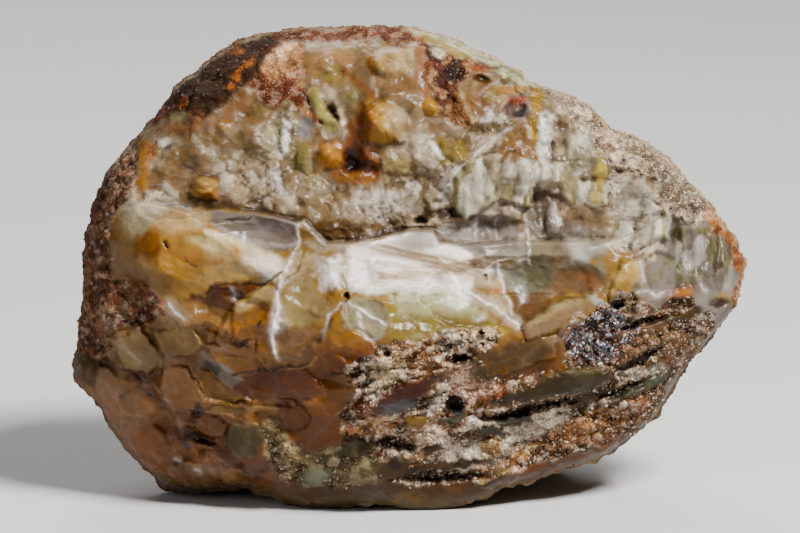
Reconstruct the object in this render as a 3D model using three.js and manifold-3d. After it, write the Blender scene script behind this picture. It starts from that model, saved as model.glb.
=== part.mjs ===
// A rough lump of plume agate, broken open along one side to show the chalcedony inside its rind.
// Millimetres, +Z up. The broken face looks along -Y and a little upwards, and the origin is on the
// small flat break that the stone rests on.
//
// The stone is one solid. Its shape is worked out in a frame turned with the broken face: u to the
// right, v up the face and w out of it. Lists of places on the face are in that frame.

import * as THREE from 'three';
import { mergeVertices } from 'three/addons/utils/BufferGeometryUtils.js';
import Module from 'manifold-3d';

// Driving dimensions
const FACE_LEAN = THREE.MathUtils.degToRad(10);   // how far the broken face leans back
const REST_HEIGHT = 32.5;                         // from the resting break up to the middle of the face
const REST_MIDDLE = [-8, -8];                     // u and w of the point that becomes the origin
const BACK_DEPTH = 36;                            // how far the rind bulges behind the stone's edge
const RIM_ROUNDING = 7;                           // how far in the face starts to turn over at its edge
const HEART = new THREE.Vector3(-1, -1, -4);      // a point deep inside, which sees the whole surface
const DETAIL = 20;                                // splits along each edge of the starting icosahedron
const CROWDING = 0.3;                             // how much closer together points lie on the face
const REACH = 90;                                 // farther from the heart than any part of the stone
const SEARCH_STEPS = 26;

// The edge of the face, clockwise from its right tip: u, v
const EDGE = [
  [48.4, 1.1], [47.6, -2.9], [47.3, -5], [43.9, -9.3], [41.9, -11.7], [40.4, -13.1], [38.1, -17],
  [35.9, -20.7], [32.6, -23.6], [29.1, -26.3], [25, -27.9], [21, -28.9], [17.4, -30.3],
  [13.7, -30.9], [10.6, -32.7], [7.1, -33.7], [3.6, -34.1], [0, -34], [-3.4, -33.3], [-7, -33.3],
  [-11, -33.9], [-15, -33.9], [-18.9, -32.6], [-22.6, -31.1], [-28.7, -31.9], [-32.4, -31.9],
  [-34.9, -31.3], [-38.4, -28], [-41.6, -24], [-44.1, -19.6], [-47.9, -15.6], [-48.1, -13.7],
  [-47.3, -10.7], [-46.4, -4.9], [-46.3, 0], [-46.1, 4.9], [-44.9, 9.6], [-43, 14], [-40, 17.7],
  [-37, 21.3], [-33.9, 24.6], [-33.6, 26], [-31.1, 28.1], [-27.6, 30.7], [-24, 33], [-19.7, 34.1],
  [-15.4, 34.6], [-7.4, 35], [0, 34.9], [3.6, 34], [7, 33], [10.1, 31.4], [13.3, 30], [16.4, 28.4],
  [17.6, 26.9], [22.6, 25.1], [26.1, 23.6], [28.3, 20.9], [29.3, 20.3], [32.9, 19], [36.9, 16.4],
  [40.1, 13], [43.4, 9.3], [46.7, 4.9],
];

// How far forward the stone's edge lies, all round it: u, v, w
const EDGE_DEPTHS = [
  [48, 0, -2], [38, 15, -5], [25, 25, -6], [10, 32, -6], [-10, 35, -8], [-30, 30, -10],
  [-40, 18, -8], [-46, 0, -6], [-47, -14, -5], [-40, -25, -7], [-32, -32, -6.5], [-22, -31, 0],
  [-13, -34, 5], [-6, -33.4, 6.5], [4, -34, 6], [12, -31.5, 4], [20, -29, 0], [35, -22, -3],
  [42, -12, -3],
];

// Heights of the recessed wall above the shelf: u, v, w
const WALL_HEIGHTS = [
  [-36, 12, 11.5], [-33, 18, 10.5], [-26, 20, 11], [-22, 26, 9.5], [-18, 30, 8.5],
  [-28, 12, 12], [-20, 14, 12], [-20, 8, 13], [-12, 12, 12.5], [-10, 5, 14], [-10, 30, 9],
  [-12, 22, 11.5], [-2, 30, 9.5], [-2, 22, 13.5], [-4, 14, 12.5], [0, 8, 13], [8, 27, 10],
  [8, 20, 13], [15, 22, 11.5], [6, 13, 14], [12, 14, 14.5], [12, 9, 13], [20, 18, 12.5],
  [20, 10, 12.5], [28, 14, 11.5], [27, 8, 12.5], [33, 10, 12], [37, 6, 10.5], [42, 5, 8],
  [30, 20, 8.5], [22, 24, 9],
];

// Heights of the mass that stands forward below the shelf's rim: u, v, w
const MASS_HEIGHTS = [
  [-40, 6, 12], [-34, 6, 16], [-32, 2, 17.5], [-26, 7, 16.5], [-26, 2, 19.5], [-20, 6, 16],
  [-20, 1, 20.5], [-14, 6, 16.5], [-12, 1, 20.5], [-6, 4, 17.5], [-6, -1, 22], [2, 5, 15.5],
  [2, 1, 18.5], [2, -2, 23], [10, 3, 14.5], [10, -1, 17.5], [9, -5, 22], [16, 3, 14],
  [17, -1, 13.5], [24, 3, 14], [24, -1, 13.5], [17, -5, 14.5], [28, 0, 14.5], [31, 0, 16],
  [31, 4, 14], [35, 2, 12], [40, 2, 9], [45, 0, 5.5], [40, -2, 9.5], [34, -3, 12],
  [-41, -3, 10.5], [-38, -9, 10], [-33, -4, 15], [-29, -8, 17.5], [-23, -5, 20],
  [-22, -11, 19], [-14, -7, 21.5], [-15, -13, 19.5], [-6, -8, 23.5], [-5, -13, 22],
  [2, -9, 22.5], [4, -14, 19], [12, -9, 20.5], [13, -14, 17], [20, -8, 18], [22, -13, 13.5],
  [26, -5, 15.5], [30, -9, 11.5], [36, -8, 9], [42, -6, 6], [-44, -14, 4], [-38, -17, 8.5],
  [-36, -24, 5], [-30, -17, 14], [-28, -24, 10.5], [-22, -18, 16], [-20, -24, 12.5],
  [-12, -19, 17], [-10, -25, 13], [-2, -19, 17.5], [0, -26, 12], [8, -19, 14.5],
  [10, -26, 10], [18, -17, 12.5], [20, -24, 7], [28, -16, 9], [28, -22, 5], [35, -15, 5.5],
  [-30, -29, 5.5], [-14, -30, 9.5], [4, -31, 9],
];
const HEIGHT_SPREAD = 4.2;                        // how far one height makes itself felt

// The shelf's rim, from left to right: u, v
const SHELF_RIM = [
  [-60, 8], [-41, 8.6], [-37, 9.9], [-31, 8.6], [-26, 9], [-20, 8.2], [-15.4, 7], [-14.4, 7.4],
  [-13.3, 5.8], [-11.5, 4.1], [-8, 4.1], [-4, 4.8], [0, 5.9], [3.6, 5.9], [4.6, 4.2], [8, 3.8],
  [16, 4.3], [24, 4.3], [29, 4.6], [33, 6], [37, 8.4], [60, 10],
];
const RIM_STEP = 0.9;                             // how far below the rim the shelf is at full height

// Scallops struck out of the face: u, v, half width, half height, turn in degrees, depth,
// then how much each falls away per millimetre to the right and upwards
const SCALLOPS = [
  [-20.5, 5.6, 6.2, 2.5, -8, 1.6, 0, -0.1],
  [-8, 1.2, 2.9, 2.6, 10, 0.9, 0, 0],
  [-1, 1.4, 8.5, 3.4, -6, 1.5, 0, 0],
  [-13.6, -0.6, 3.0, 4.6, -12, 1.2, 0, 0],
  [18.5, -1.6, 8.4, 4.0, 4, 2.0, 0, 0],
  [-26, -1, 6.5, 2.7, -22, 1.2, 0, 0.05],
  [-33, 1.0, 4.6, 3.6, 20, 0.8, 0, 0],
  [-28, -5.0, 5.5, 2.2, -4, 1.3, 0, 0],
  [-5, -6.4, 3.4, 3.2, 0, 1.2, 0, 0],
  [4.5, -5.8, 6.2, 3.2, -6, 0.9, 0, 0],
  [-8.4, -11.5, 4.4, 3.6, -20, 1.0, 0, 0],
  [-15.2, -6, 2.7, 4.2, -8, 1.0, 0, 0],
  [-22, -11.5, 3.6, 3.0, 25, 1.0, 0, 0],
  [-30.5, -16, 6.0, 4.4, -18, 1.3, 0, 0],
  [-38, -12.5, 4.2, 3.8, -30, 0.9, 0, 0],
  [-20.5, -17.5, 5.0, 3.4, -10, 1.2, 0, 0],
  [-13, -15.5, 5.4, 2.6, 0, 1.0, 0, 0],
  [-37, -23, 3.8, 6.2, 32, 1.0, 0, 0],
  [-26, -25.5, 5.0, 3.6, 10, 1.1, 0, 0],
  [-19.5, -23.5, 3.4, 3.2, 0, 1.0, 0, 0],
  [31.5, 9, 3.0, 4.2, 8, 1.2, 0, 0],
  [26, 17, 3.6, 4.6, 24, 0.9, 0, 0],
  [21.4, 20.6, 2.8, 4.0, 0, 1.0, 0, 0],
  [41.2, 2.4, 2.1, 3.6, 4, 0.9, 0, 0],
  [44.4, 1.6, 1.3, 3.0, 10, 0.6, 0, 0],
  [39, -1.6, 3.0, 2.2, -30, 0.8, 0, 0],
  [11.5, 19.4, 3.6, 2.4, 28, 1.1, 0, 0],
  [-26, 15, 4.6, 4.2, 0, 0.9, 0, 0],
  [-33, 14.2, 4.4, 3.6, 10, 0.8, 0, 0],
];

// Facets and slabs that stand proud of the face: corners, then how far the slab stands out and
// how much it rises per millimetre to the right and upwards
const SLABS = [
  { corners: [[16.2, -8], [20.6, -5], [22.6, -4], [26.3, -3.3], [27.4, -4.2], [28.4, -5.6], [21.6, -8.4], [17, -9.6]], rise: 1.7, slope: [-0.1, 0.12] },
  { corners: [[-11.4, -9], [-9, -5.2], [-7.6, -8.4], [-4.4, -10.6], [-3.4, -13], [-9.6, -14.4], [-13.4, -10.8]], rise: 0.9, slope: [0.05, 0.1] },
  { corners: [[28.4, -3.4], [30.4, 1.2], [32.2, 0.6], [32.4, -1.8], [30.4, -3.6], [29, -4.6]], rise: 1.4, slope: [0.1, 0] },
  { corners: [[31, 2.2], [35.8, 5.2], [37, 4.6], [36.6, 8.4], [34.6, 9], [33, 6.4]], rise: 1.3, slope: [0.05, 0.05] },
  { corners: [[-24, -4.8], [-20, -2.6], [-18.4, -3], [-18.8, -12.6], [-23.6, -11.8], [-26.8, -9.6]], rise: 1.0, slope: [0.08, 0] },
  { corners: [[14.6, -15.6], [20, -14.6], [28.8, -13.9], [28.4, -15.8], [24, -17.4], [14.8, -18]], rise: 1.5, slope: [0, 0.2] },
  { corners: [[10, -12.6], [17.4, -9.8], [20.8, -9.4], [20.6, -12.2], [16.6, -13.8], [11.4, -14.8]], rise: 0.8, slope: [0, 0.15] },
  { corners: [[-3.6, -17], [2, -15.4], [5.4, -13.8], [5.2, -16.6], [0, -18], [-6, -19.4]], rise: 1.2, slope: [0, 0.2] },
  { corners: [[-42.6, -9.6], [-36.4, -7.6], [-35, -11.8], [-38.8, -14], [-42.4, -13]], rise: 0.8, slope: [0, 0.05] },
];
const SLAB_SIDE = 1.6;                            // how steeply a slab's sides fall, height over width

// Knobs on the face: u, v, radius across, radius up, how far each stands out
const KNOBS = [
  [-2.6, 29.4, 2.9, 2.5, 1.9], [-3.4, 20.8, 3.4, 3.2, 2.3], [-11.2, 16.2, 1.6, 1.8, 1.5],
  [3.3, 23, 1.3, 1.3, 1.1], [-28.8, 11.8, 2.1, 1.6, 1.5], [-12.6, 23.6, 1.0, 2.6, 1.1],
  [-32.4, 23.3, 1.7, 1.4, 1.3], [14.6, -16.4, 1.1, 1.3, 1.2], [20.2, -21, 1.5, 1.6, 1.5],
  [11.4, -16.6, 1.9, 1.6, 1.4], [5, -12.6, 2.0, 1.3, 1.3], [25, -21.8, 1.8, 1.4, 1.3],
  [5.6, -8.8, 1.5, 0.9, 1.0], [10.6, -10.6, 2.3, 0.9, 1.1], [31.4, -19.6, 2.0, 1.6, 1.2],
  [23.6, -8.4, 2.2, 1.6, 1.3], [3, -23.4, 3.0, 1.6, 1.3], [13, -24.8, 2.4, 1.7, 1.2],
  [-46.4, -13.6, 2.4, 2.8, 1.0], [-17, -24.6, 1.8, 2.6, 1.3], [21, 7, 1.7, 1.6, 1.3],
  [4, 8.9, 1.5, 0.8, 1.2], [33.6, -5.6, 2.2, 1.3, 1.3], [38.6, -7.2, 2.4, 1.4, 1.2],
];

// Pits in the face: u, v, radius across, radius up, turn in degrees, depth
const PITS = [
  [-7.6, 15.6, 1.9, 2.6, 0, 4.2], [-6.8, 14.6, 3.4, 1.3, 0, 2.6], [15.2, 22.8, 1.9, 1.6, 30, 2.6],
  [6.8, 28.2, 1.6, 1.9, 30, 2.2], [10.8, 27, 1.6, 0.8, -20, 1.3], [10.6, 6, 6.6, 1.7, 3, 2.6],
  [18.8, 8, 1.2, 3.2, 0, 1.6], [37.8, 5.4, 1.0, 2.9, 0, 2.4], [-2.8, -11.3, 0.9, 0.8, 0, 1.5],
  [7, -12.4, 2.2, 0.8, 8, 2.2], [10.2, -9.1, 0.9, 0.7, 0, 1.5], [6.8, -18.8, 1.8, 1.5, 0, 1.9],
  [29.6, -4.6, 1.1, 1.0, 30, 1.9], [-7.2, -14.3, 1.2, 0.8, 0, 1.3], [18, -19.4, 7.2, 0.9, 12, 2.3],
  [6, -29.2, 8, 1.0, 2, 1.8], [33, -7.4, 5, 0.7, 14, 1.8], [33, -12.6, 4.4, 1.0, 30, 1.7],
  [-29.4, -19.8, 1.4, 1.2, 40, 0.9], [-30, -23.4, 3.4, 1.0, -25, 1.4], [44.6, -4.6, 2.2, 0.8, 10, 1.6],
  [30.8, -17, 4.6, 0.9, 22, 1.7], [12.4, -20.6, 4.0, 1.0, 0, 1.8], [-2, -24.4, 3.6, 1.2, -10, 1.8],
];

// Thin ridges: the line that each follows, then its half width and height
const RIDGES = [
  { line: [[-17.3, -0.3], [-18.2, -3.4], [-18.1, -6], [-18.6, -8.4], [-18.9, -9.8], [-18, -12.6]], width: 0.6, height: 1.3 },
  { line: [[6, -0.6], [8, -2.8], [10, -4.4], [13, -6], [14.8, -7.8], [16.2, -9]], width: 0.7, height: 1.0 },
  { line: [[-14.4, 7.2], [-15.4, 2.8], [-17.3, -0.3]], width: 0.7, height: 0.8 },
  { line: [[-8.4, -3.4], [-6.2, -5.6], [-3.2, -7.6]], width: 0.6, height: 0.6 },
  { line: [[5.4, 11.4], [9.4, 16.4], [14.8, 19.8]], width: 0.7, height: 0.9 },
  { line: [[-39.6, -15.4], [-35.4, -17], [-33.4, -19.6], [-33, -23]], width: 0.7, height: 0.6 },
];

// The lumps of the rind, in four sizes: millimetres a wave, height, two turns and a start
const LUMPS = [
  [41, 1.0, 0.5, 0.9, 0.4], [23, 0.75, 1.9, 0.4, 2.1], [13.5, 0.42, 3.1, 1.3, 4.4],
  [8.2, 0.24, 0.8, 2.2, 1.2],
];

// Old breaks across the back and sides: the direction each faces, then its distance from the heart
const BREAKS = [
  [0.62, 0.3, -0.72, 35], [-0.55, 0.45, -0.7, 35], [-0.2, -0.35, -0.92, 31],
  [0.35, 0.62, -0.7, 31], [-0.82, -0.1, -0.56, 41], [0.75, -0.3, -0.59, 36],
  [-0.1, 0.72, -0.69, 31.5], [-0.45, -0.55, -0.7, 34],
];
const BREAK_ROUNDING = 2.2;                       // how widely weather has rounded where breaks meet

// The rubbly matrix under the face: its middle, half sizes, turn, and the height of its lumps
const RUBBLE = { at: [22, -19], half: [27, 13], turn: 14, lumps: 0.5, wave: [5.6, 3.6] };

function smoothStep(low, high, x) {
  return THREE.MathUtils.smoothstep(x, low, high);
}

// The place (u, v) seen from a centre, turned by an angle in degrees
function turned(u, v, centreU, centreV, degrees) {
  const angle = THREE.MathUtils.degToRad(degrees);
  const du = u - centreU;
  const dv = v - centreV;
  return [du * Math.cos(angle) + dv * Math.sin(angle), dv * Math.cos(angle) - du * Math.sin(angle)];
}

// A smooth surface through a list of heights, each felt most near its own place
function blendHeights(list, spread, u, v) {
  let total = 0;
  let weight = 0;
  for (const [pu, pv, height] of list) {
    const away = ((u - pu) ** 2 + (v - pv) ** 2) / spread ** 2;
    const share = Math.exp(-away) + 0.002 / (1 + away * away);
    total += share * height;
    weight += share;
  }
  return total / weight;
}

// Distance from the middle of the face to its edge, in the direction of (u, v)
function edgeRadius(u, v) {
  const length = Math.hypot(u, v) || 1;
  const [a, b] = [u / length, v / length];
  for (let k = 0; k < EDGE.length; k += 1) {
    const [u0, v0] = EDGE[k];
    const [u1, v1] = EDGE[(k + 1) % EDGE.length];
    const side0 = a * v0 - b * u0;
    const side1 = a * v1 - b * u1;
    if (side0 * side1 <= 0 && a * (u0 + u1) + b * (v0 + v1) > 0) {
      const share = side0 / (side0 - side1 || 1);
      return a * (u0 + share * (u1 - u0)) + b * (v0 + share * (v1 - v0));
    }
  }
  return 0;
}

function rimHeight(u) {
  let k = 1;
  while (SHELF_RIM[k][0] < u && k < SHELF_RIM.length - 1) k += 1;
  const [u0, v0] = SHELF_RIM[k - 1];
  const [u1, v1] = SHELF_RIM[k];
  return THREE.MathUtils.mapLinear(THREE.MathUtils.clamp(u, u0, u1), u0, u1, v0, v1);
}

// Distance from a place to a line of points
function awayFromLine(line, u, v) {
  let nearest = Infinity;
  for (let k = 1; k < line.length; k += 1) {
    const [u0, v0] = line[k - 1];
    const [u1, v1] = line[k];
    const du = u1 - u0;
    const dv = v1 - v0;
    const share = THREE.MathUtils.clamp(((u - u0) * du + (v - v0) * dv) / (du * du + dv * dv), 0, 1);
    nearest = Math.min(nearest, Math.hypot(u - u0 - share * du, v - v0 - share * dv));
  }
  return nearest;
}

function insideRing(ring, u, v) {
  let inside = false;
  for (let i = 0, j = ring.length - 1; i < ring.length; j = i, i += 1) {
    const [ui, vi] = ring[i];
    const [uj, vj] = ring[j];
    if ((vi > v) !== (vj > v) && u < ui + ((uj - ui) * (v - vi)) / (vj - vi)) inside = !inside;
  }
  return inside;
}

// Height of the rind's lumps at a place inside or outside the stone
function rindLumps(u, v, w) {
  let sum = 0;
  for (const [wave, height, turnA, turnB, start] of LUMPS) {
    const x = u * Math.cos(turnA) + v * Math.sin(turnA);
    const s = v * Math.cos(turnA) - u * Math.sin(turnA);
    const y = s * Math.cos(turnB) + w * Math.sin(turnB);
    const z = w * Math.cos(turnB) - s * Math.sin(turnB);
    const [a, b, c] = [x, y, z].map((along) => (along / wave) * 2 * Math.PI + start);
    sum += height * (Math.sin(a) * Math.cos(b) + Math.sin(b) * Math.cos(c) + Math.sin(c) * Math.cos(a));
  }
  return sum;
}

// The broad shape of the broken face: the wall above the shelf's rim and the mass below it
function broadFace(u, v) {
  const wall = blendHeights(WALL_HEIGHTS, HEIGHT_SPREAD, u, v);
  const mass = blendHeights(MASS_HEIGHTS, HEIGHT_SPREAD, u, v);
  const above = smoothStep(0, RIM_STEP, v - rimHeight(u) + RIM_STEP);
  return THREE.MathUtils.lerp(mass, wall, above);
}

function rubbleLumps(u, v) {
  const [along, across] = turned(u, v, ...RUBBLE.at, RUBBLE.turn);
  const away = Math.hypot(along / RUBBLE.half[0], across / RUBBLE.half[1]);
  const lumps = Math.sin((along / RUBBLE.wave[0]) * 2 * Math.PI + 1.3 * Math.sin(across * 1.1))
    * Math.sin((across / RUBBLE.wave[1]) * 2 * Math.PI + 1.7 * Math.sin(along * 0.45));
  return RUBBLE.lumps * lumps * (1 - smoothStep(0.75, 1.05, away));
}

// The broken face with its scallops, slabs, knobs, pits and ridges
function brokenFace(u, v) {
  let height = broadFace(u, v);
  for (const [su, sv, halfU, halfV, turn, depth, fallU, fallV] of SCALLOPS) {
    const [du, dv] = turned(u, v, su, sv, turn);
    const away = (du / halfU) ** 2 + (dv / halfV) ** 2;
    if (away > 4) continue;
    const floor = broadFace(su, sv) - fallU * (u - su) - fallV * (v - sv);
    height = Math.min(height, Math.max(floor - depth * (1 - away), height - depth));
  }
  for (const { corners, rise, slope } of SLABS) {
    const middleU = corners.reduce((sum, c) => sum + c[0], 0) / corners.length;
    const middleV = corners.reduce((sum, c) => sum + c[1], 0) / corners.length;
    const outside = insideRing(corners, u, v) ? 0 : awayFromLine([...corners, corners[0]], u, v);
    if (outside > 3) continue;
    const top = broadFace(middleU, middleV) + rise + slope[0] * (u - middleU) + slope[1] * (v - middleV);
    height = Math.max(height, Math.min(top, height + rise) - SLAB_SIDE * outside);
  }
  for (const [ku, kv, radiusU, radiusV, rise] of KNOBS) {
    const away = ((u - ku) / radiusU) ** 2 + ((v - kv) / radiusV) ** 2;
    if (away < 1) height += rise * Math.sqrt(1 - away);
  }
  for (const [pu, pv, radiusU, radiusV, turn, depth] of PITS) {
    const [du, dv] = turned(u, v, pu, pv, turn);
    const away = (du / radiusU) ** 2 + (dv / radiusV) ** 2;
    if (away < 1) height -= depth * (1 - away);
  }
  for (const { line, width, height: rise } of RIDGES) {
    height += rise * Math.exp(-((awayFromLine(line, u, v) / width) ** 2));
  }
  return height + rubbleLumps(u, v);
}

// True where the point (u, v, w) is inside the stone
function isStone(u, v, w) {
  const radius = edgeRadius(u, v);
  if (Math.hypot(u, v) >= radius) return false;
  const edge = blendHeights(EDGE_DEPTHS, 12, u, v);
  const behind = smoothStep(0, 12, edge - w);
  const lumps = rindLumps(u, v, w);
  const out = Math.hypot(u, v) / (radius - behind * (1 - Math.min(1, 0.6 * lumps)));
  if (out >= 1) return false;
  const inward = Math.min(1, ((1 - out) * radius) / RIM_ROUNDING);
  const rounding = Math.sqrt(1 - (1 - inward) ** 2);
  if (w > edge + (brokenFace(u, v) - edge) * rounding) return false;
  const low = smoothStep(0.25, 0.85, -v / Math.hypot(u, v));
  const fullness = 2.3 + 5 * low;
  const bulge = BACK_DEPTH * Math.sqrt(1 - out ** fullness);
  if (w < edge - bulge - lumps * behind) return false;
  let crossed = 0;
  for (const [a, b, c, distance] of BREAKS) {
    const along = (a * (u - HEART.x) + b * (v - HEART.y) + c * (w - HEART.z)) / Math.hypot(a, b, c);
    crossed += Math.exp((along - distance - 0.8 * lumps) / BREAK_ROUNDING);
  }
  return crossed < 1;
}

// Moves a point of the unit sphere out to the stone's surface, along a line from the heart
function placeOnStone(point) {
  const fromFront = Math.acos(THREE.MathUtils.clamp(point.z, -1, 1));
  const crowded = fromFront - CROWDING * Math.sin(fromFront);
  const ring = Math.hypot(point.x, point.y) || 1;
  const way = new THREE.Vector3(
    (44 * point.x * Math.sin(crowded)) / ring,
    (32 * point.y * Math.sin(crowded)) / ring,
    30 * Math.cos(crowded),
  ).normalize();
  let inside = 0;
  let outside = REACH;
  for (let step = 0; step < SEARCH_STEPS; step += 1) {
    const middle = (inside + outside) / 2;
    const p = way.clone().multiplyScalar(middle).add(HEART);
    if (isStone(p.x, p.y, p.z)) inside = middle;
    else outside = middle;
  }
  return way.multiplyScalar(inside).add(HEART);
}

// From the face's frame to the stone's own frame
function standUp(point) {
  const { x: u, y: v, z: w } = point;
  const middle = REST_MIDDLE[1];
  return new THREE.Vector3(
    u - REST_MIDDLE[0],
    v * Math.sin(FACE_LEAN) - w * Math.cos(FACE_LEAN) + middle * Math.cos(FACE_LEAN) + REST_HEIGHT * Math.sin(FACE_LEAN),
    v * Math.cos(FACE_LEAN) + w * Math.sin(FACE_LEAN) + REST_HEIGHT,
  );
}

function roughStone() {
  const ball = new THREE.IcosahedronGeometry(1, DETAIL);
  ball.deleteAttribute('normal');
  ball.deleteAttribute('uv');
  const stone = mergeVertices(ball, 1e-5);
  const places = stone.attributes.position;
  const point = new THREE.Vector3();
  for (let k = 0; k < places.count; k += 1) {
    point.fromBufferAttribute(places, k).normalize();
    places.setXYZ(k, ...standUp(placeOnStone(point)));
  }
  return stone;
}

// A slab of space under the resting plane, which the stone's foot is cut by
function underRest() {
  const depth = 30;
  const slab = new THREE.BoxGeometry(200, 200, depth).translate(0, 0, -depth / 2);
  slab.deleteAttribute('normal');
  slab.deleteAttribute('uv');
  return mergeVertices(slab, 1e-5);
}

const wasm = await Module();
wasm.setup();

function toSolid(geometry) {
  return new wasm.Manifold(new wasm.Mesh({
    numProp: 3,
    vertProperties: new Float32Array(geometry.attributes.position.array),
    triVerts: new Uint32Array(geometry.index.array),
  }));
}

function toGeometry(solid) {
  const mesh = solid.getMesh();
  const geometry = new THREE.BufferGeometry();
  geometry.setAttribute('position', new THREE.BufferAttribute(mesh.vertProperties, 3));
  geometry.setIndex(new THREE.BufferAttribute(mesh.triVerts, 1));
  geometry.computeVertexNormals();
  return geometry;
}

const stoneMaterial = new THREE.MeshStandardMaterial({ color: 0xa98a5e, roughness: 0.45, metalness: 0 });
const stone = new THREE.Mesh(toGeometry(toSolid(roughStone()).subtract(toSolid(underRest()))), stoneMaterial);
stone.name = 'agate';

const agate = new THREE.Group();
agate.add(stone);

export default agate;
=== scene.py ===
import math
import bpy
import numpy as np
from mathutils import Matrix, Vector


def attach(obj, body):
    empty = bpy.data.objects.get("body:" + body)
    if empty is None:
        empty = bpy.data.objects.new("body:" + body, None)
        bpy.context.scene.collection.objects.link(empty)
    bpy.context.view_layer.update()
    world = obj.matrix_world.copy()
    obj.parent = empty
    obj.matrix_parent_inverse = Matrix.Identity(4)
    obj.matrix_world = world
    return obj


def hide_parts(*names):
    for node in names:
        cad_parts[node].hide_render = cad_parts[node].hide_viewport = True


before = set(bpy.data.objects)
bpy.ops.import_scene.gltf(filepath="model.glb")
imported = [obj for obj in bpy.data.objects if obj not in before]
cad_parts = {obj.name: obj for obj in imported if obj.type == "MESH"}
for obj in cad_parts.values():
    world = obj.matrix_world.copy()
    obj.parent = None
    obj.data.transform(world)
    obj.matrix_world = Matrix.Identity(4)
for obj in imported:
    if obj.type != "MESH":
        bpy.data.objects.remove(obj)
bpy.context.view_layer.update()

# The face's own frame, in millimetres: u to the right, v up the broken face and w out of it

MM = 0.001
FACE_LEAN = math.radians(10)
REST_HEIGHT = 32.5
REST_MIDDLE = (-8.0, -8.0)
BACK_DEPTH = 36.0
RIM_ROUNDING = 7.0
HEART = np.array((-1.0, -1.0, -4.0))
CROWDING = 0.32
HALF_SIZES = (44, 32, 30)
REACH = 90.0
SEARCH_STEPS = 19
FINE_REACH = 2
FINE_STEPS = 9
GRID_STEP = 0.125

EDGE = [
    (48.4, 1.1), (47.6, -2.9), (47.3, -5), (43.9, -9.3), (41.9, -11.7), (40.4, -13.1), (38.1, -17),
    (35.9, -20.7), (32.6, -23.6), (29.1, -26.3), (25, -27.9), (21, -28.9), (17.4, -30.3), (13.7, -30.9),
    (10.6, -32.7), (7.1, -33.7), (3.6, -34.1), (0, -34), (-3.4, -33.3), (-7, -33.3), (-11, -33.9),
    (-15, -33.9), (-18.9, -32.6), (-22.6, -31.1), (-28.7, -31.9), (-32.4, -31.9), (-34.9, -31.3),
    (-38.4, -28), (-41.6, -24), (-44.1, -19.6), (-47.9, -15.6), (-48.1, -13.7), (-47.3, -10.7),
    (-46.4, -4.9), (-46.3, 0), (-46.1, 4.9), (-44.9, 9.6), (-43, 14), (-40, 17.7), (-37, 21.3),
    (-33.9, 24.6), (-33.6, 26), (-31.1, 28.1), (-27.6, 30.7), (-24, 33), (-19.7, 34.1), (-15.4, 34.6),
    (-7.4, 35), (0, 34.9), (3.6, 34), (7, 33), (10.1, 31.4), (13.3, 30), (16.4, 28.4), (17.6, 26.9),
    (22.6, 25.1), (26.1, 23.6), (28.3, 20.9), (29.3, 20.3), (32.9, 19), (36.9, 16.4), (40.1, 13),
    (43.4, 9.3), (46.7, 4.9),
]

EDGE_DEPTHS = [
    (48, 0, -2), (38, 15, -5), (25, 25, -6), (10, 32, -6), (-10, 35, -8), (-30, 30, -10), (-40, 18, -8),
    (-46, 0, -6), (-47, -14, -5), (-40, -25, -7), (-32, -32, -6.5), (-22, -31, 0), (-13, -34, 5),
    (-6, -33.4, 6.5), (4, -34, 6), (12, -31.5, 4), (20, -29, 0), (35, -22, -3), (42, -12, -3),
]

WALL_HEIGHTS = [
    (-36, 12, 11.5), (-33, 18, 10.5), (-26, 20, 11), (-22, 26, 9.5), (-18, 30, 8.5), (-28, 12, 12),
    (-20, 14, 12), (-20, 8, 13), (-12, 12, 12.5), (-10, 5, 14), (-10, 30, 9), (-12, 22, 11.5),
    (-2, 30, 9.5), (-2, 22, 13.5), (-4, 14, 12.5), (0, 8, 13), (8, 27, 10), (8, 20, 13), (15, 22, 11.5),
    (6, 13, 14), (12, 14, 14.5), (12, 9, 13), (20, 18, 12.5), (20, 10, 12.5), (28, 14, 11.5), (27, 8, 12.5),
    (33, 10, 12), (37, 6, 10.5), (42, 5, 8), (30, 20, 8.5), (22, 24, 9),
]

MASS_HEIGHTS = [
    (-40, 6, 12), (-34, 6, 16), (-32, 2, 17.5), (-26, 7, 16.5), (-26, 2, 19.5), (-20, 6, 16),
    (-20, 1, 20.5), (-14, 6, 16.5), (-12, 1, 20.5), (-6, 4, 17.5), (-6, -1, 22), (2, 5, 15.5), (2, 1, 18.5),
    (2, -2, 23), (10, 3, 14.5), (10, -1, 17.5), (9, -5, 22), (16, 3, 14), (17, -1, 13.5), (24, 3, 14),
    (24, -1, 13.5), (17, -5, 14.5), (28, 0, 14.5), (31, 0, 16), (31, 4, 14), (35, 2, 12), (40, 2, 9),
    (45, 0, 5.5), (40, -2, 9.5), (34, -3, 12), (-41, -3, 10.5), (-38, -9, 10), (-33, -4, 15),
    (-29, -8, 17.5), (-23, -5, 20), (-22, -11, 19), (-14, -7, 21.5), (-15, -13, 19.5), (-6, -8, 23.5),
    (-5, -13, 22), (2, -9, 22.5), (4, -14, 19), (12, -9, 20.5), (13, -14, 17), (20, -8, 18),
    (22, -13, 13.5), (26, -5, 15.5), (30, -9, 11.5), (36, -8, 9), (42, -6, 6), (-44, -14, 4),
    (-38, -17, 8.5), (-36, -24, 5), (-30, -17, 14), (-28, -24, 10.5), (-22, -18, 16), (-20, -24, 12.5),
    (-12, -19, 17), (-10, -25, 13), (-2, -19, 17.5), (0, -26, 12), (8, -19, 14.5), (10, -26, 10),
    (18, -17, 12.5), (20, -24, 7), (28, -16, 9), (28, -22, 5), (35, -15, 5.5), (-30, -29, 5.5),
    (-14, -30, 9.5), (4, -31, 9),
]
HEIGHT_SPREAD = 4.2

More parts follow.
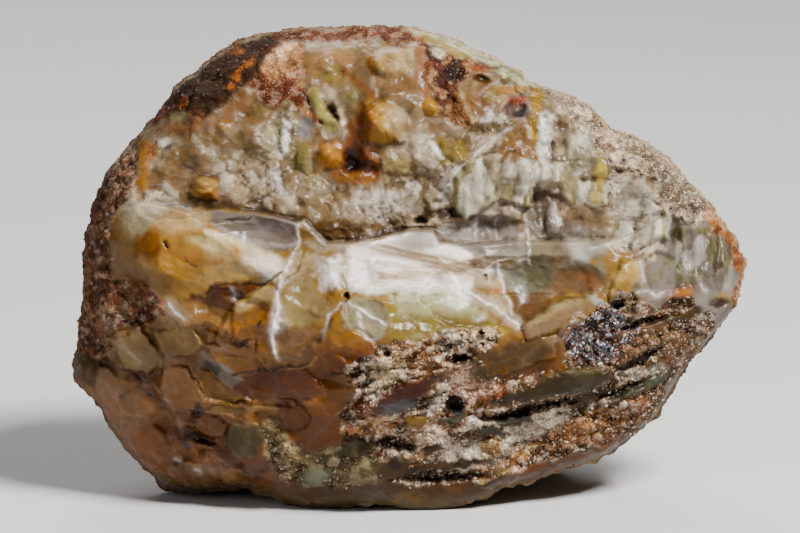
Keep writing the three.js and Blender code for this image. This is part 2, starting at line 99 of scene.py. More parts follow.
SHELF_RIM = [
    (-60, 8), (-41, 8.6), (-37, 9.9), (-31, 8.6), (-26, 9), (-20, 8.2), (-15.4, 7), (-14.4, 7.4),
    (-13.3, 5.8), (-11.5, 4.1), (-8, 4.1), (-4, 4.8), (0, 5.9), (3.6, 5.9), (4.6, 4.2), (8, 3.8), (16, 4.3),
    (24, 4.3), (29, 4.6), (33, 6), (37, 8.4), (60, 10),
]
RIM_STEP = 0.6

# Scallops: u, v, half width, half height, turn, depth and, where not level, its fall right and upwards
SCALLOPS = [
    (-20.5, 5.6, 6.2, 2.5, -8, 1.6, 0, -0.1), (-8, 1.2, 2.9, 2.6, 10, 0.9), (-1, 1.4, 8.5, 3.4, -6, 1.5),
    (-13.6, -0.6, 3, 4.6, -12, 1.2), (18.5, -1.6, 8.4, 4, 4, 2), (-26, -1, 6.5, 2.7, -22, 1.2, 0, 0.05),
    (-33, 1, 4.6, 3.6, 20, 0.8), (-28, -5, 5.5, 2.2, -4, 1.3), (-5, -6.4, 3.4, 3.2, 0, 1.2),
    (4.5, -5.8, 6.2, 3.2, -6, 0.9), (-8.4, -11.5, 4.4, 3.6, -20, 1), (-15.2, -6, 2.7, 4.2, -8, 1),
    (-22, -11.5, 3.6, 3, 25, 1), (-30.5, -16, 6, 4.4, -18, 1.3), (-38, -12.5, 4.2, 3.8, -30, 0.9),
    (-20.5, -17.5, 5, 3.4, -10, 1.2), (-13, -15.5, 5.4, 2.6, 0, 1), (-37, -23, 3.8, 6.2, 32, 1),
    (-26, -25.5, 5, 3.6, 10, 1.1), (-19.5, -23.5, 3.4, 3.2, 0, 1), (31.5, 9, 3, 4.2, 8, 1.2),
    (26, 17, 3.6, 4.6, 24, 0.9), (21.4, 20.6, 2.8, 4, 0, 1), (41.2, 2.4, 2.1, 3.6, 4, 0.9),
    (44.4, 1.6, 1.3, 3, 10, 0.6), (39, -1.6, 3, 2.2, -30, 0.8), (11.5, 19.4, 3.6, 2.4, 28, 1.1),
    (-26, 15, 4.6, 4.2, 0, 0.9), (-33, 14.2, 4.4, 3.6, 10, 0.8),
]

# Slabs: corners, how far each stands out, and its rise to the right and upwards
SLABS = [
    ([(16.2, -8), (20.6, -5), (22.6, -4), (26.3, -3.3), (27.4, -4.2), (28.4, -5.6), (21.6, -8.4),
      (17, -9.6)], 1.7, -0.1, 0.12),
    ([(-11.4, -9), (-9, -5.2), (-7.6, -8.4), (-4.4, -10.6), (-3.4, -13), (-9.6, -14.4), (-13.4, -10.8)],
     0.9, 0.05, 0.1),
    ([(28.4, -3.4), (30.4, 1.2), (32.2, 0.6), (32.4, -1.8), (30.4, -3.6), (29, -4.6)], 1.4, 0.1, 0),
    ([(31, 2.2), (35.8, 5.2), (37, 4.6), (36.6, 8.4), (34.6, 9), (33, 6.4)], 1.3, 0.05, 0.05),
    ([(-24, -4.8), (-20, -2.6), (-18.4, -3), (-18.8, -12.6), (-23.6, -11.8), (-26.8, -9.6)], 1, 0.08, 0),
    ([(14.6, -15.6), (20, -14.6), (28.8, -13.9), (28.4, -15.8), (24, -17.4), (14.8, -18)], 1.5, 0, 0.2),
    ([(10, -12.6), (17.4, -9.8), (20.8, -9.4), (20.6, -12.2), (16.6, -13.8), (11.4, -14.8)], 0.8, 0, 0.15),
    ([(-3.6, -17), (2, -15.4), (5.4, -13.8), (5.2, -16.6), (0, -18), (-6, -19.4)], 1.2, 0, 0.2),
    ([(-42.6, -9.6), (-36.4, -7.6), (-35, -11.8), (-38.8, -14), (-42.4, -13)], 0.8, 0, 0.05),
]
SLAB_SIDE = 2.4
STONE_SUBDIVISIONS = 7

# Flat facets of the lower left: corners, colour, how far each stands out, its lean right and upwards
LEFT_FACETS = [
    ([(-36, -8.4), (-30, -8.4), (-28.8, -10), (-30, -12), (-34.4, -12), (-35.6, -10)], "8E7040", 0.5, 0.06,
     -0.1),
    ([(-41.4, -10), (-38, -8.4), (-35.4, -11), (-34.6, -13.4), (-37, -14.6), (-40, -13.6)], "8C7A58", 0.4,
     0.1, 0.05),
    ([(-34.4, -14), (-31, -13.8), (-29.6, -16), (-28.6, -18), (-30, -19.6), (-33, -20), (-35, -17)],
     "98704E", 0.5, 0, 0.12),
    ([(-34.4, -12), (-30, -12), (-28.6, -14), (-29.6, -15.8), (-31, -13.8), (-34, -13.6)], "805636", -0.3,
     0.1, -0.2),
    ([(-28.4, -14), (-25.4, -16.6), (-24.4, -18.4), (-28, -18), (-29.6, -16)], "84603C", 0.2, -0.15, 0.1),
    ([(-29, -18.4), (-24, -18.6), (-18.4, -19.6), (-18.4, -20), (-26, -20.2), (-29.6, -19.8)], "8C6A3E",
     0.6, -0.05, 0.25),
    ([(-24.4, -15.2), (-20, -17), (-18, -18), (-22, -18.2), (-25, -17)], "5E3A2A", -0.4, 0.1, 0.1),
    ([(-20.8, -14.4), (-14, -13.8), (-12, -16.6), (-13.6, -18), (-18, -18), (-21, -16.6)], "6C4428", 0.1,
     0.1, -0.1),
    ([(-24, -12), (-21.6, -12), (-20.8, -14.4), (-21.2, -14.8), (-24, -14.9)], "8E6038", 0.4, 0.1, 0.1),
    ([(-24, -12), (-26.8, -11.8), (-28.6, -10.4), (-24, -10.8), (-20.2, -11), (-20, -13.6), (-21.4, -12)],
     "885A38", 0.1, 0, 0.2),
    ([(-44, -13), (-40, -16), (-36, -16.2), (-34.6, -20), (-37, -21), (-42, -20.6), (-44.4, -17.6)],
     "8C6036", 0.3, -0.1, 0),
    ([(-42, -21), (-37, -21), (-34, -24), (-33, -27), (-36, -28), (-39.6, -26), (-42, -23)], "865628", 0,
     0.1, 0.1),
    ([(-33, -20.4), (-28, -20.2), (-25.4, -21.6), (-26, -23.6), (-32, -23.2)], "7E5436", 0.2, 0.05, -0.2),
    ([(-24.6, -22), (-20.8, -21.8), (-20, -24), (-21.6, -26.8), (-24.8, -26.4), (-25.6, -24)], "5E5038",
     0.4, -0.1, 0.1),
    ([(-33, -27.4), (-27, -27.4), (-26.6, -30.4), (-30, -31), (-35, -29.6)], "704A2E", 0.2, 0, 0.15),
    ([(-26.8, -28), (-23.6, -28), (-22.4, -30.2), (-26.2, -30.8)], "8A623A", 0.4, 0.1, 0),
]

# Knobs: u, v, radius across, radius up, how far each stands out
KNOBS = [
    (-2.6, 29.4, 2.9, 2.5, 1.9), (-3.4, 20.8, 3.4, 3.2, 2.3), (-11.2, 16.2, 1.6, 1.8, 1.5),
    (3.3, 23, 1.3, 1.3, 1.1), (-28.8, 11.8, 2.1, 1.6, 1.5), (-12.6, 23.6, 1, 2.6, 1.1),
    (-32.4, 23.3, 1.7, 1.4, 1.3), (14.6, -16.4, 1.1, 1.3, 1.2), (20.2, -21, 1.5, 1.6, 1.5),
    (11.4, -16.6, 1.9, 1.6, 1.4), (5, -12.6, 2, 1.3, 1.3), (25, -21.8, 1.8, 1.4, 1.3),
    (5.6, -8.8, 1.5, 0.9, 1), (10.6, -10.6, 2.3, 0.9, 1.1), (31.4, -19.6, 2, 1.6, 1.2),
    (23.6, -8.4, 2.2, 1.6, 1.3), (3, -23.4, 3, 1.6, 1.3), (13, -24.8, 2.4, 1.7, 1.2),
    (-46.4, -13.6, 2.4, 2.8, 1), (-17, -24.6, 1.8, 2.6, 1.3), (21, 7, 1.7, 1.6, 1.3),
    (4, 8.9, 1.5, 0.8, 1.2), (33.6, -5.6, 2.2, 1.3, 1.3), (38.6, -7.2, 2.4, 1.4, 1.2),
]

# Pits: u, v, radius across, radius up, turn, depth
PITS = [
    (-7.6, 15.6, 1.9, 2.6, 0, 1.3), (-6.8, 14.6, 3.4, 1.3, 0, 0.8), (15.2, 22.8, 1.9, 1.6, 30, 2.6),
    (6.8, 28.2, 1.6, 1.9, 30, 2.2), (10.8, 27, 1.6, 0.8, -20, 1.3), (10.6, 6, 6.6, 1.7, 3, 1.6),
    (18.8, 8, 1.2, 3.2, 0, 0.8), (37.8, 5.4, 1, 2.9, 0, 0.7), (-2.8, -11.3, 0.9, 0.8, 0, 1.8),
    (7, -12.4, 2.2, 0.8, 8, 2.4), (10.2, -9.1, 0.9, 0.7, 0, 1.8), (6.8, -18.8, 1.8, 1.5, 0, 2.1),
    (29.6, -4.6, 1.1, 1, 30, 2.2), (-7.2, -14.3, 1.2, 0.8, 0, 1.3), (18, -19.4, 7.2, 0.9, 12, 2.3),
    (6, -29.2, 8, 1, 2, 1.8), (33, -7.4, 5, 0.7, 14, 1.8), (33, -12.6, 4.4, 1, 30, 1.7),
    (-29.4, -19.8, 1.4, 1.2, 40, 0.9), (-30, -23.4, 3.4, 1, -25, 1.4), (44.6, -4.6, 2.2, 0.8, 10, 1.6),
    (30.8, -17, 4.6, 0.9, 22, 1.7), (12.4, -20.6, 4, 1, 0, 1.8), (-2, -24.4, 3.6, 1.2, -10, 1.8),
    (-8.5, -3.5, 0.45, 0.7, -10, 1.6), (-33.8, 3.6, 0.7, 0.35, -40, 0.8), (11.1, -1.1, 0.4, 0.35, 0, 0.6),
    (-10.4, 22.2, 0.5, 1.5, 25, 0.9), (-13.9, 24, 0.4, 1, 0, 0.8), (-12, 20.8, 0.5, 0.5, 0, 0.8),
    (1.8, 7, 0.9, 0.5, 0, 1.2), (6, 8, 2.2, 1.2, 0, 0.9),
]

# Ridges: the line, half width, height
RIDGES = [
    ([(-17.3, -0.3), (-18.2, -3.4), (-18.1, -6), (-18.6, -8.4), (-18.9, -9.8), (-18.1, -12.4)], 0.34, 0.9),
    ([(-18.2, -6.2), (-17.7, -7.1), (-18.4, -8)], 0.45, 0.5),
    ([(8, -2.7), (10, -4), (12, -5), (13.5, -6), (15, -7.2), (16, -8.2)], 0.35, 0.5),
    ([(-15.2, 6.6), (-15.6, 3), (-16.4, 1.2), (-17.3, -0.3)], 0.25, 0.35),
    ([(-8.2, -4.4), (-6.2, -5.8), (-3.2, -7.6)], 0.25, 0.35),
    ([(-7, -5.8), (-6.6, -7.2), (-6.2, -8.4)], 0.2, 0.25),
    ([(6, 12.6), (8.4, 15.4), (10.6, 17.2), (13, 18.6), (15, 20.4)], 0.35, 0.6),
    ([(-36.6, -15.6), (-35, -17), (-33.8, -19), (-33.4, -21)], 0.3, 0.3),
    ([(11.2, 0.2), (11.9, 1), (13.4, 1.3), (16, 1.5)], 0.16, 0.18),
    ([(12.7, 0.7), (13.1, -1), (13.8, -3.2), (14.3, -4.8), (14.9, -5.8)], 0.16, 0.22),
    ([(-6, 0), (-5.2, 1.2), (-4.4, 1.8)], 0.25, 0.2),
    ([(-5.2, -2.4), (0, -2.3), (4, -2.2), (8, -2.6)], 0.25, 0.25),
    ([(-17.4, -12.4), (-15.6, -10.6), (-13.4, -9.2), (-11.8, -8.8)], 0.5, 0.35),
    ([(-17.8, -13.4), (-15.6, -13.8), (-13.4, -13)], 0.25, 0.25),
    ([(33.9, 12), (34.4, 9.6), (35.6, 7.4)], 0.35, 0.5), ([(12.6, 7.2), (12.5, 4.4)], 0.2, 0.3),
    ([(17, 7.6), (16.9, 4.6), (17.1, 1)], 0.22, 0.35),
    ([(-19.8, -21.4), (-18.6, -22.4), (-17.4, -24), (-16, -26)], 0.4, 0.5),
    ([(-28.2, -3.2), (-26.4, -2.1), (-24.4, -1.8), (-20, -2), (-18.4, -1)], 0.25, -0.4),
    ([(-32.2, 1.6), (-30.6, 0.6), (-29.6, 0.4)], 0.2, -0.25),
    ([(-14.4, 1.6), (-15.4, 0), (-17, -1.6)], 0.2, -0.3),
    ([(15.8, -8), (18.4, -6.2), (21.6, -4.4), (26, -3.5)], 0.3, -0.5),
    ([(6.2, -0.4), (7.4, -1.8)], 0.25, 0.25), ([(-34.6, -11.8), (-31, -12.1), (-28.6, -11)], 0.2, -0.3),
    ([(-38, -16.3), (-35.6, -18)], 0.2, -0.35),
    ([(-40.4, -13.6), (-38.6, -15.2), (-36.4, -15.9)], 0.25, -0.35),
    ([(-24.2, -14.8), (-21, -15), (-21.6, -13.2), (-20.6, -11.8)], 0.2, 0.3),
]

# Bumps on the visible face, finer than the knobs: u, v, radius across, radius up, turn, height
BUMPS = [
    (-1.2, 30.6, 1.2, 0.9, 20, 0.5), (-0.9, 28.8, 1, 1.2, 0, 0.5), (-4.4, 29.4, 1.2, 1.8, 10, 0.4),
    (-5.4, 20.8, 1.3, 1.9, 10, 0.7), (-2.4, 18.7, 1.3, 0.8, 0, 0.6), (-1.2, 21.2, 1.3, 1.4, 0, 0.6),
    (-3.8, 22.8, 1.4, 1, -10, 0.5), (-10.4, 15.2, 1.3, 0.9, 20, 0.5), (-11.4, 16.8, 1.3, 1, 0, 0.6),
    (-1.6, 15.2, 2.4, 1.9, 0, 0.7), (6.2, 17, 1.8, 1.4, -20, 0.5), (-14.4, 15.6, 1.3, 2.2, 15, 0.7),
    (-19.4, 19, 1, 1.8, 10, 0.6), (-17.2, 18.6, 0.8, 2.6, 0, 0.7), (-28.6, 12.1, 1.3, 0.7, 5, 0.4),
    (-29.4, 10.8, 1.1, 0.6, -10, 0.3), (-27.6, 10.6, 0.9, 0.8, 0, 0.4), (19.4, 18.6, 1, 3, 5, 0.6),
    (24.4, 17.6, 2.3, 3, 15, 0.7), (27.2, 13.4, 0.8, 2.6, 5, 0.5), (29.2, 10.6, 1, 2.6, 8, 0.6),
    (18.4, 22.6, 0.8, 2.8, 0, 0.5), (16.2, 17.4, 2.2, 1.6, 0, 0.3), (11.6, 24.6, 1.5, 1.4, 0, 0.6),
    (20.6, 7.2, 1, 1, 0, 0.5), (21.2, 6, 1, 0.8, 0, 0.4), (3.2, 9.1, 0.8, 0.6, 25, 0.5),
    (-11, 29.2, 2.2, 1.6, 0, 0.4), (-8.6, 24.2, 1.2, 2, 15, 0.3), (5, 26, 1, 2, 20, -0.7),
    (6.2, 22.6, 1.3, 2.4, 15, -0.7), (30.2, -1.2, 1.6, 2.4, 20, 0.4), (39, -3.2, 1.6, 0.9, 10, 0.4),
]

# Places on the face, each drawn round the patch that it names

LEFT_RIND = [
    (-44, 16), (-39.4, 19), (-38.6, 15.5), (-38.2, 13.5), (-38.9, 11.5), (-39.6, 9.6), (-41, 8),
    (-41.8, 5.5), (-42.2, 3), (-42, 1), (-41.8, -1), (-39.5, -1.6), (-37, -1.8), (-35.8, -2.8),
    (-35.2, -4.4), (-34.2, -6.2), (-35.8, -7.6), (-38.5, -7.8), (-41, -8.2), (-42.3, -10), (-42.6, -12.4),
    (-45, -12.2), (-47, -10.6), (-60, -8), (-60, 16),
]
TOP_LEFT_RIND = [
    (-44, 16), (-39.4, 19), (-38, 20.2), (-35, 21.2), (-33.4, 22.3), (-32, 22.4), (-30.3, 21.6),
    (-28.8, 21.3), (-27.4, 22.6), (-26, 23), (-25.2, 24), (-24, 25.2), (-22.6, 26.1), (-21.8, 26.9),
    (-20.9, 28.2), (-20.3, 29.6), (-19.2, 31.4), (-17.6, 33), (-16, 34.4), (-20, 40), (-40, 34), (-60, 16),
]
DARK_PATCH = [
    (-34.4, 25.4), (-31, 24.4), (-30.2, 22.8), (-28.8, 21.6), (-26.6, 23.2), (-24.6, 25.2), (-22.6, 26.4),
    (-21, 28.6), (-19.6, 31), (-18.4, 32.6), (-20.6, 33.4), (-23.4, 32.2), (-26, 30.6), (-29.4, 29),
    (-32, 27),
]
SAND_RIND = [
    (18.6, 27.2), (20, 25.6), (21.4, 24.4), (21.2, 22.6), (22.8, 21.6), (24.2, 20.2), (26, 18.6),
    (27.4, 16.8), (29.4, 15), (31, 13.8), (33.2, 14.2), (34.8, 12.6), (35.6, 10.4), (36.4, 8.2),
    (38.4, 7.4), (40.4, 6.6), (42.2, 6.4), (42.6, 7.4), (44, 8.6), (60, 14), (40, 36), (20, 34),
]
RED_TIP = [
    (42.2, 7.6), (43.2, 5.6), (44.6, 5), (45.9, 3.8), (46.9, 1.6), (47, -1.5), (46.6, -3.8), (46.2, -5.6),
    (52, -6), (54, 8), (44, 10),
]
RUBBLE = [
    (-9, -13.5), (-5, -12), (-2.5, -10), (1, -9.6), (4.5, -8.4), (7, -8.4), (9, -8.3), (11.5, -8),
    (13.6, -9), (12, -10.6), (10.4, -12.4), (11, -14.6), (14.4, -15.2), (20.4, -14.9), (22.5, -13.2),
    (21.3, -10.5), (21.6, -8.2), (22.8, -7), (25, -6.6), (27.4, -5.4), (28.6, -4.6), (29.4, -3.4),
    (31.6, -3.4), (32.6, -4.6), (35.4, -5.4), (37.4, -4.2), (40, -4.4), (42, -5.6), (44.4, -5.8),
    (42.8, -9.6), (40.4, -12.4), (37.6, -16.6), (34.8, -20.6), (31.6, -23.4), (27, -25.6), (22, -26.6),
    (17, -28.4), (12, -30.2), (7, -30.4), (1.5, -30.4), (-1, -30), (-3, -29.8), (-5, -27), (-8, -24.4),
    (-9.6, -20.5), (-7, -17.6),
]
LOW_CRUST = [
    (-20.6, -21.4), (-18.8, -21.2), (-16.6, -24), (-14.4, -26), (-10.4, -24.4), (-8, -24), (-4, -27),
    (-3, -29.4), (-8, -30.8), (-14, -30.4), (-18.8, -29.4), (-19.6, -26.4),
]
LONG_SLAB = [
    (14.2, -18), (18, -16.2), (22, -15), (28.7, -14), (28.9, -15.4), (25.4, -17), (20, -18),
]
DARK_CRYSTALS = [
    (22.4, -10.4), (24, -7.6), (26.4, -6.6), (28, -5.4), (29, -5.2), (31.6, -7), (33, -9), (31.4, -11.2),
    (28.6, -12.4), (26, -13.4), (23.6, -12.6),
]
PALE_RIM = [
    (0, 34.9), (1.6, 32.6), (5.4, 31), (9, 29.6), (12, 28.4), (13.6, 27.4), (16, 26.6), (18.6, 26.2),
    (17.6, 28), (16.4, 29.4), (13, 31), (7, 34), (2, 36),
]
LILAC_LIP = [
    (-28, 8.6), (-25, 8.2), (-22, 7.9), (-19, 7.7), (-16.4, 7.2), (-15.4, 6.6), (-15.6, 3.2), (-17.8, 2.6),
    (-21, 3.2), (-23.6, 4.3), (-26, 5.8), (-27.6, 7),
]
GREY_SHELF = [
    (-2, 5.4), (2, 5.6), (4.2, 5), (5.2, 3.6), (9, 3.7), (14, 4.3), (16.6, 4.2), (22.5, 4.2), (28, 4.4),
    (28, 2), (22.4, 1.8), (17, 1.6), (12, 1.4), (6, 1.8), (0, 2.6), (-1.6, 4),
]
STRIPED_SHELF = [
    (-8.4, 3), (-4, 4.2), (0, 5), (4, 4), (9, 2.4), (9.4, -2.6), (2, -2.6), (-5.4, -2.8), (-8, -2),
]
GREY_RECESS = [
    (4.4, 6), (7, 6.6), (9.6, 7.3), (12, 7.9), (13.6, 7.2), (15, 6.2), (16, 5), (14, 4.4), (9.6, 4),
    (6, 3.8), (4.6, 4.8),
]
GREY_POCKET = [(17.4, 11), (19.4, 9.6), (19.6, 5), (17.6, 4.6), (17, 6)]
AMBER_BULGE = [
    (-38.4, 4.6), (-36, 5.2), (-35.2, 6.6), (-33.6, 7.8), (-31, 8.3), (-29, 8.6), (-28, 7.2), (-27.2, 5.8),
    (-25, 4.6), (-22.4, 3.6), (-23.5, 2.4), (-22.6, 0.6), (-20.4, -0.6), (-22.4, -1.8), (-26, -2),
    (-29, -3.4), (-31.6, -3.4), (-34, -1), (-38, 1),
]
AMBER_CORE = [
    (-33.2, 3.6), (-31, 3.6), (-28.4, 2.6), (-26.4, 1.6), (-28.6, 0.2), (-31, 0.3), (-33, 1.8),
]
RUSTY_SIDE = [(-38.6, 5), (-35.2, 5.6), (-34.4, 3.6), (-35.2, 1.4), (-38.4, 1.6)]
RED_SEAM = [
    (-32, -3.6), (-28.6, -3.4), (-26, -2.2), (-22.6, -2), (-20.4, -1.9), (-22.8, -3.8), (-24.6, -5.8),
    (-27, -5), (-30, -4.8),
]
ORANGE_BLOCK = [
    (-25, -6), (-22.6, -4.4), (-19.2, -2), (-18.8, -6), (-19.4, -10), (-19, -13.4), (-21.6, -15),
    (-24.4, -14.6), (-25, -9),
]
AMBER_FACET = [
    (-13.4, -10.8), (-11.8, -9.4), (-11, -6.8), (-9.2, -4.8), (-8.9, -8.3), (-6.9, -8.2), (-6, -9.6),
    (-4.6, -10), (-3.8, -11.6), (-6, -13), (-9.6, -14.6),
]
AMBER_LUMP = [
    (27.6, -3.2), (28.6, -1), (29.8, 0.4), (31.4, 1.4), (32.6, 1.2), (32.6, -1), (31.8, -2.8), (29.6, -3.6),
    (28.7, -4.9),
]
AMBER_FACET_RIGHT = [(34.2, 3), (35.8, 5), (36.7, 4.4), (36.4, 6.6), (34.4, 5.6)]
GREEN_CHANNEL = [
    (11.4, -0.4), (13, 1), (16, 1.2), (20, 1.6), (24.4, 1.2), (27.6, 0.4), (27.2, -2.2), (24, -2.8),
    (20.4, -2.8), (17, -3.6), (14.2, -3.4), (12.8, -1.6),
]
BROWN_CHANNEL = [(20.4, 1.0), (24, 0.6), (26.6, -0.4), (26.4, -2.6), (21.4, -2.8)]
PINK_SLOPE = [(14, -3.8), (20.6, -3.8), (20.4, -5.2), (16.4, -7.8), (14.8, -6)]
OLIVE_LEFT = [
    (-16.6, -0.4), (-13.4, 0.8), (-12.8, -3), (-9.8, -4.6), (-11.2, -6.6), (-14, -7.8), (-17.4, -8),
    (-17.8, -4),
]
AMBER_BLOCK = [(-15.8, 2.6), (-12.6, 2.4), (-12.6, -0.6), (-13.6, -1.6), (-16.6, -1.6)]
GREEN_FACE = [
    (-2.6, -3.4), (4, -3.4), (8, -3.6), (10.4, -5.4), (12.8, -7.4), (9.6, -8.4), (4, -8.6), (0, -9.6),
    (-2.4, -8.4),
]
MILKY_FACET = [
    (-9, -4.6), (-7.2, -3.6), (-5, -4.2), (-2.6, -5.4), (-2.6, -7.6), (-3.4, -9.4), (-5.4, -10),
    (-6.8, -8.4), (-8.9, -8.4),
]
OLIVE_FOOT = [(-3, -9), (0, -9.4), (4, -8.8), (3, -10.6), (-1, -12.2)]
DARK_PIT = [
    (-9.9, 13.8), (-9.2, 16), (-7.9, 18.6), (-7.4, 20.6), (-6.4, 22.4), (-6, 22), (-7, 19.8), (-6.2, 17),
    (-5.2, 15.4), (-4.2, 14.2), (-5, 13.4), (-8, 13.4),
]
PIT_RIM = [
    (-11, 13), (-10.4, 16), (-8.6, 19.6), (-8, 22.6), (-5.4, 23), (-5.2, 19.4), (-4.4, 16.4), (-3.4, 14),
    (-4.6, 12.2), (-8, 12),
]
RUST_CHANNEL = [
    (0.6, 33.4), (2.4, 31), (2.4, 27.6), (3.4, 26), (4, 24.4), (5, 22.6), (6.4, 20.4), (8.6, 20.4),
    (8.4, 23), (7, 25.6), (8.4, 27.4), (12, 28.2), (14, 28.8), (11, 30), (7, 30.4), (4.4, 32),
]
TAN_CRUST = [
    (-21, 27.8), (-19.4, 30.4), (-17.4, 32.8), (-14.6, 32.4), (-15, 29.6), (-14.4, 27.4), (-15, 26),
    (-17.4, 26.6), (-19.4, 26.4),
]
RED_CRUST = [
    (-22.6, 26), (-20.8, 28), (-17.4, 26.8), (-14.6, 25.6), (-14, 23.6), (-15.6, 23.2), (-18, 23.4),
    (-20.4, 24),
]
TOP_CRUST = [
    (-18, 34.8), (-10, 34.2), (-6, 35.2), (0, 34.8), (2, 32.4), (0.4, 32), (-4, 32.8), (-9, 33), (-14, 33),
    (-18, 33),
]
CURTAIN = [
    (5.6, 11.6), (9, 15.8), (14, 16.6), (18, 15.4), (22, 15), (24.6, 12.4), (28.4, 12.4), (28.2, 9.4),
    (26, 8.6), (24.8, 9.8), (23.4, 8.6), (22, 10.4), (18, 11.6), (17.6, 8.8), (16, 9.2), (13, 10),
    (11, 8.6), (8.4, 7.4), (6.6, 8.4),
]
CHOC_LEDGE = [
    (-24, -15), (-19, -14), (-16, -14), (-11.6, -13.6), (-10.4, -15.4), (-13, -17.6), (-18, -18.4),
    (-22, -18),
]
FACES_LOW_LEFT = [
    (-50, -12), (-38, -8), (-24, -7), (-24, -15), (-10, -18), (-20, -21), (-26, -32), (-50, -34),
]

# Colours of the stone's minerals


def paint(hue):
    """Six hex digits as linear numbers, deeper and richer in the darker colours, as polished stone is"""
    parts = np.array([int(hue[k:k + 2], 16) / 255 for k in (0, 2, 4)])
    linear = np.where(parts <= 0.04045, parts / 12.92, ((parts + 0.055) / 1.055) ** 2.4)
    light = linear @ (0.2126, 0.7152, 0.0722)
    push = 1.05 + 0.75 * max(0, 1 - light / 0.3)
    rich = np.maximum(light + (linear - light) * push * (1.05, 0.85, 1.0), 0.003)
    return rich * min(1, light / 0.8) ** 0.58


MILK = "F4F0EA"

# Working sheets over the face


def unit(x):
    """Held between 0 and 1"""
    return np.clip(x, 0, 1)


def smooth(low, high, x):
    t = unit((x - low) / (high - low))
    return t * t * (3 - 2 * t)


sheet_u = np.arange(-50, 50 + GRID_STEP, GRID_STEP)
sheet_v = np.arange(-37, 37 + GRID_STEP, GRID_STEP)
U, V = np.meshgrid(sheet_u, sheet_v)


def window(low_u, high_u, low_v, high_v):
    """The part of the sheets between these limits"""
    rows = slice(*np.searchsorted(sheet_v, (low_v, high_v)))
    columns = slice(*np.searchsorted(sheet_u, (low_u, high_u)))
    return rows, columns


def window_of(points, margin):
    us = [p[0] for p in points]
    vs = [p[1] for p in points]
    return window(min(us) - margin, max(us) + margin, min(vs) - margin, max(vs) + margin)


def turned(u, v, centre_u, centre_v, degrees):
    angle = math.radians(degrees)
    du = u - centre_u
    dv = v - centre_v
    return du * math.cos(angle) + dv * math.sin(angle), dv * math.cos(angle) - du * math.sin(angle)


def swell(x, y, seed):
    """Smooth random swells, about one to a unit, between -1 and 1"""
    angle = np.random.RandomState(seed).rand(64, 64) * 2 * math.pi
    i = np.floor(x).astype(int)
    j = np.floor(y).astype(int)
    fx = x - i
    fy = y - j
    fade_x = fx * fx * (3 - 2 * fx)
    fade_y = fy * fy * (3 - 2 * fy)
    corners = []
    for dj in (0, 1):
        for di in (0, 1):
            a = angle[(j + dj) & 63, (i + di) & 63]
            corners.append(np.cos(a) * (fx - di) + np.sin(a) * (fy - dj))
    low = corners[0] + (corners[1] - corners[0]) * fade_x
    high = corners[2] + (corners[3] - corners[2]) * fade_x
    return 1.5 * (low + (high - low) * fade_y)


CLOUD_SIZES = 3


def clouds(u, v, wave, seed, stretch=1, turn=0):
    """Swells in several sizes"""
    a, b = turned(u, v, 0, 0, turn)
    total = 0
    for k in range(CLOUD_SIZES):
        scale = 2.0 ** k
        total = total + swell(a / wave / stretch * scale + 7.3 * k, b / wave * scale, seed + k) / scale
    return total


def chips(u, v, size, seed, stretch, turn, tilt, dish, lift):
    """Dished chips that meet in sharp ridges: height, nearness to a ridge and a number per chip"""
    a, b = turned(u, v, 0, 0, turn)
    a = a / size / stretch
    b = b / size
    draw = np.random.RandomState(seed).rand(5, 64, 64)
    i = np.floor(a).astype(int)
    j = np.floor(b).astype(int)
    best = np.full(a.shape, 1e9)
    second = np.full(a.shape, 1e9)
    name = np.zeros(a.shape)
    for dj in (-1, 0, 1):
        for di in (-1, 0, 1):
            row = (j + dj) & 63
            column = (i + di) & 63
            da = a - i - di - draw[0, row, column]
            db = b - j - dj - draw[1, row, column]
            height = dish * (da * da + db * db) + tilt * (draw[2, row, column] - 0.5) * da * 2
            height = height + tilt * (draw[3, row, column] - 0.5) * db * 2
            height = height + lift * draw[4, row, column]
            nearer = height < best
            second = np.where(nearer, best, np.minimum(second, height))
            name = np.where(nearer, draw[4, row, column] * 7.77 % 1, name)
            best = np.where(nearer, height, best)
    return best, np.exp(-(second - best) / 0.06), name


def blend_heights(places, spread, u, v):
    total = np.zeros(u.shape)
    weight = np.zeros(u.shape)
    for pu, pv, height in places:
        away = ((u - pu) ** 2 + (v - pv) ** 2) / spread ** 2
        share = np.exp(-away) + 0.002 / (1 + away * away)
        total += share * height
        weight += share
    return total / weight


def away_from_line(line, u, v):
    nearest = np.full(u.shape, 1e9)
    for (u0, v0), (u1, v1) in zip(line, line[1:]):
        du = u1 - u0
        dv = v1 - v0
        share = unit(((u - u0) * du + (v - v0) * dv) / (du * du + dv * dv))
        nearest = np.minimum(nearest, np.hypot(u - u0 - share * du, v - v0 - share * dv))
    return nearest


def inside_ring(ring, u, v):
    inside = np.zeros(u.shape, bool)
    for (ui, vi), (uj, vj) in zip(ring, ring[-1:] + ring[:-1]):
        if vi == vj:
            continue
        crossing = ui + (uj - ui) * (v - vi) / (vj - vi)
        inside ^= ((vi > v) != (vj > v)) & (u < crossing)
    return inside


# Ragged places, so that no patch of colour has a drawn edge

RAGGED = (U + 0.8 * clouds(U, V, 2.6, 11) + 0.25 * swell(U / 0.6, V / 0.6, 12),
          V + 0.8 * clouds(U, V, 2.6, 21) + 0.25 * swell(U / 0.6, V / 0.6, 22))
WAVY = (U + 0.35 * clouds(U, V, 1.8, 31), V + 0.35 * clouds(U, V, 1.8, 41))


def moved(part, ragged=False):
    """The places in a part of the sheets, each a little out of its place"""
    sheets = RAGGED if ragged else WAVY
    return sheets[0][part], sheets[1][part]


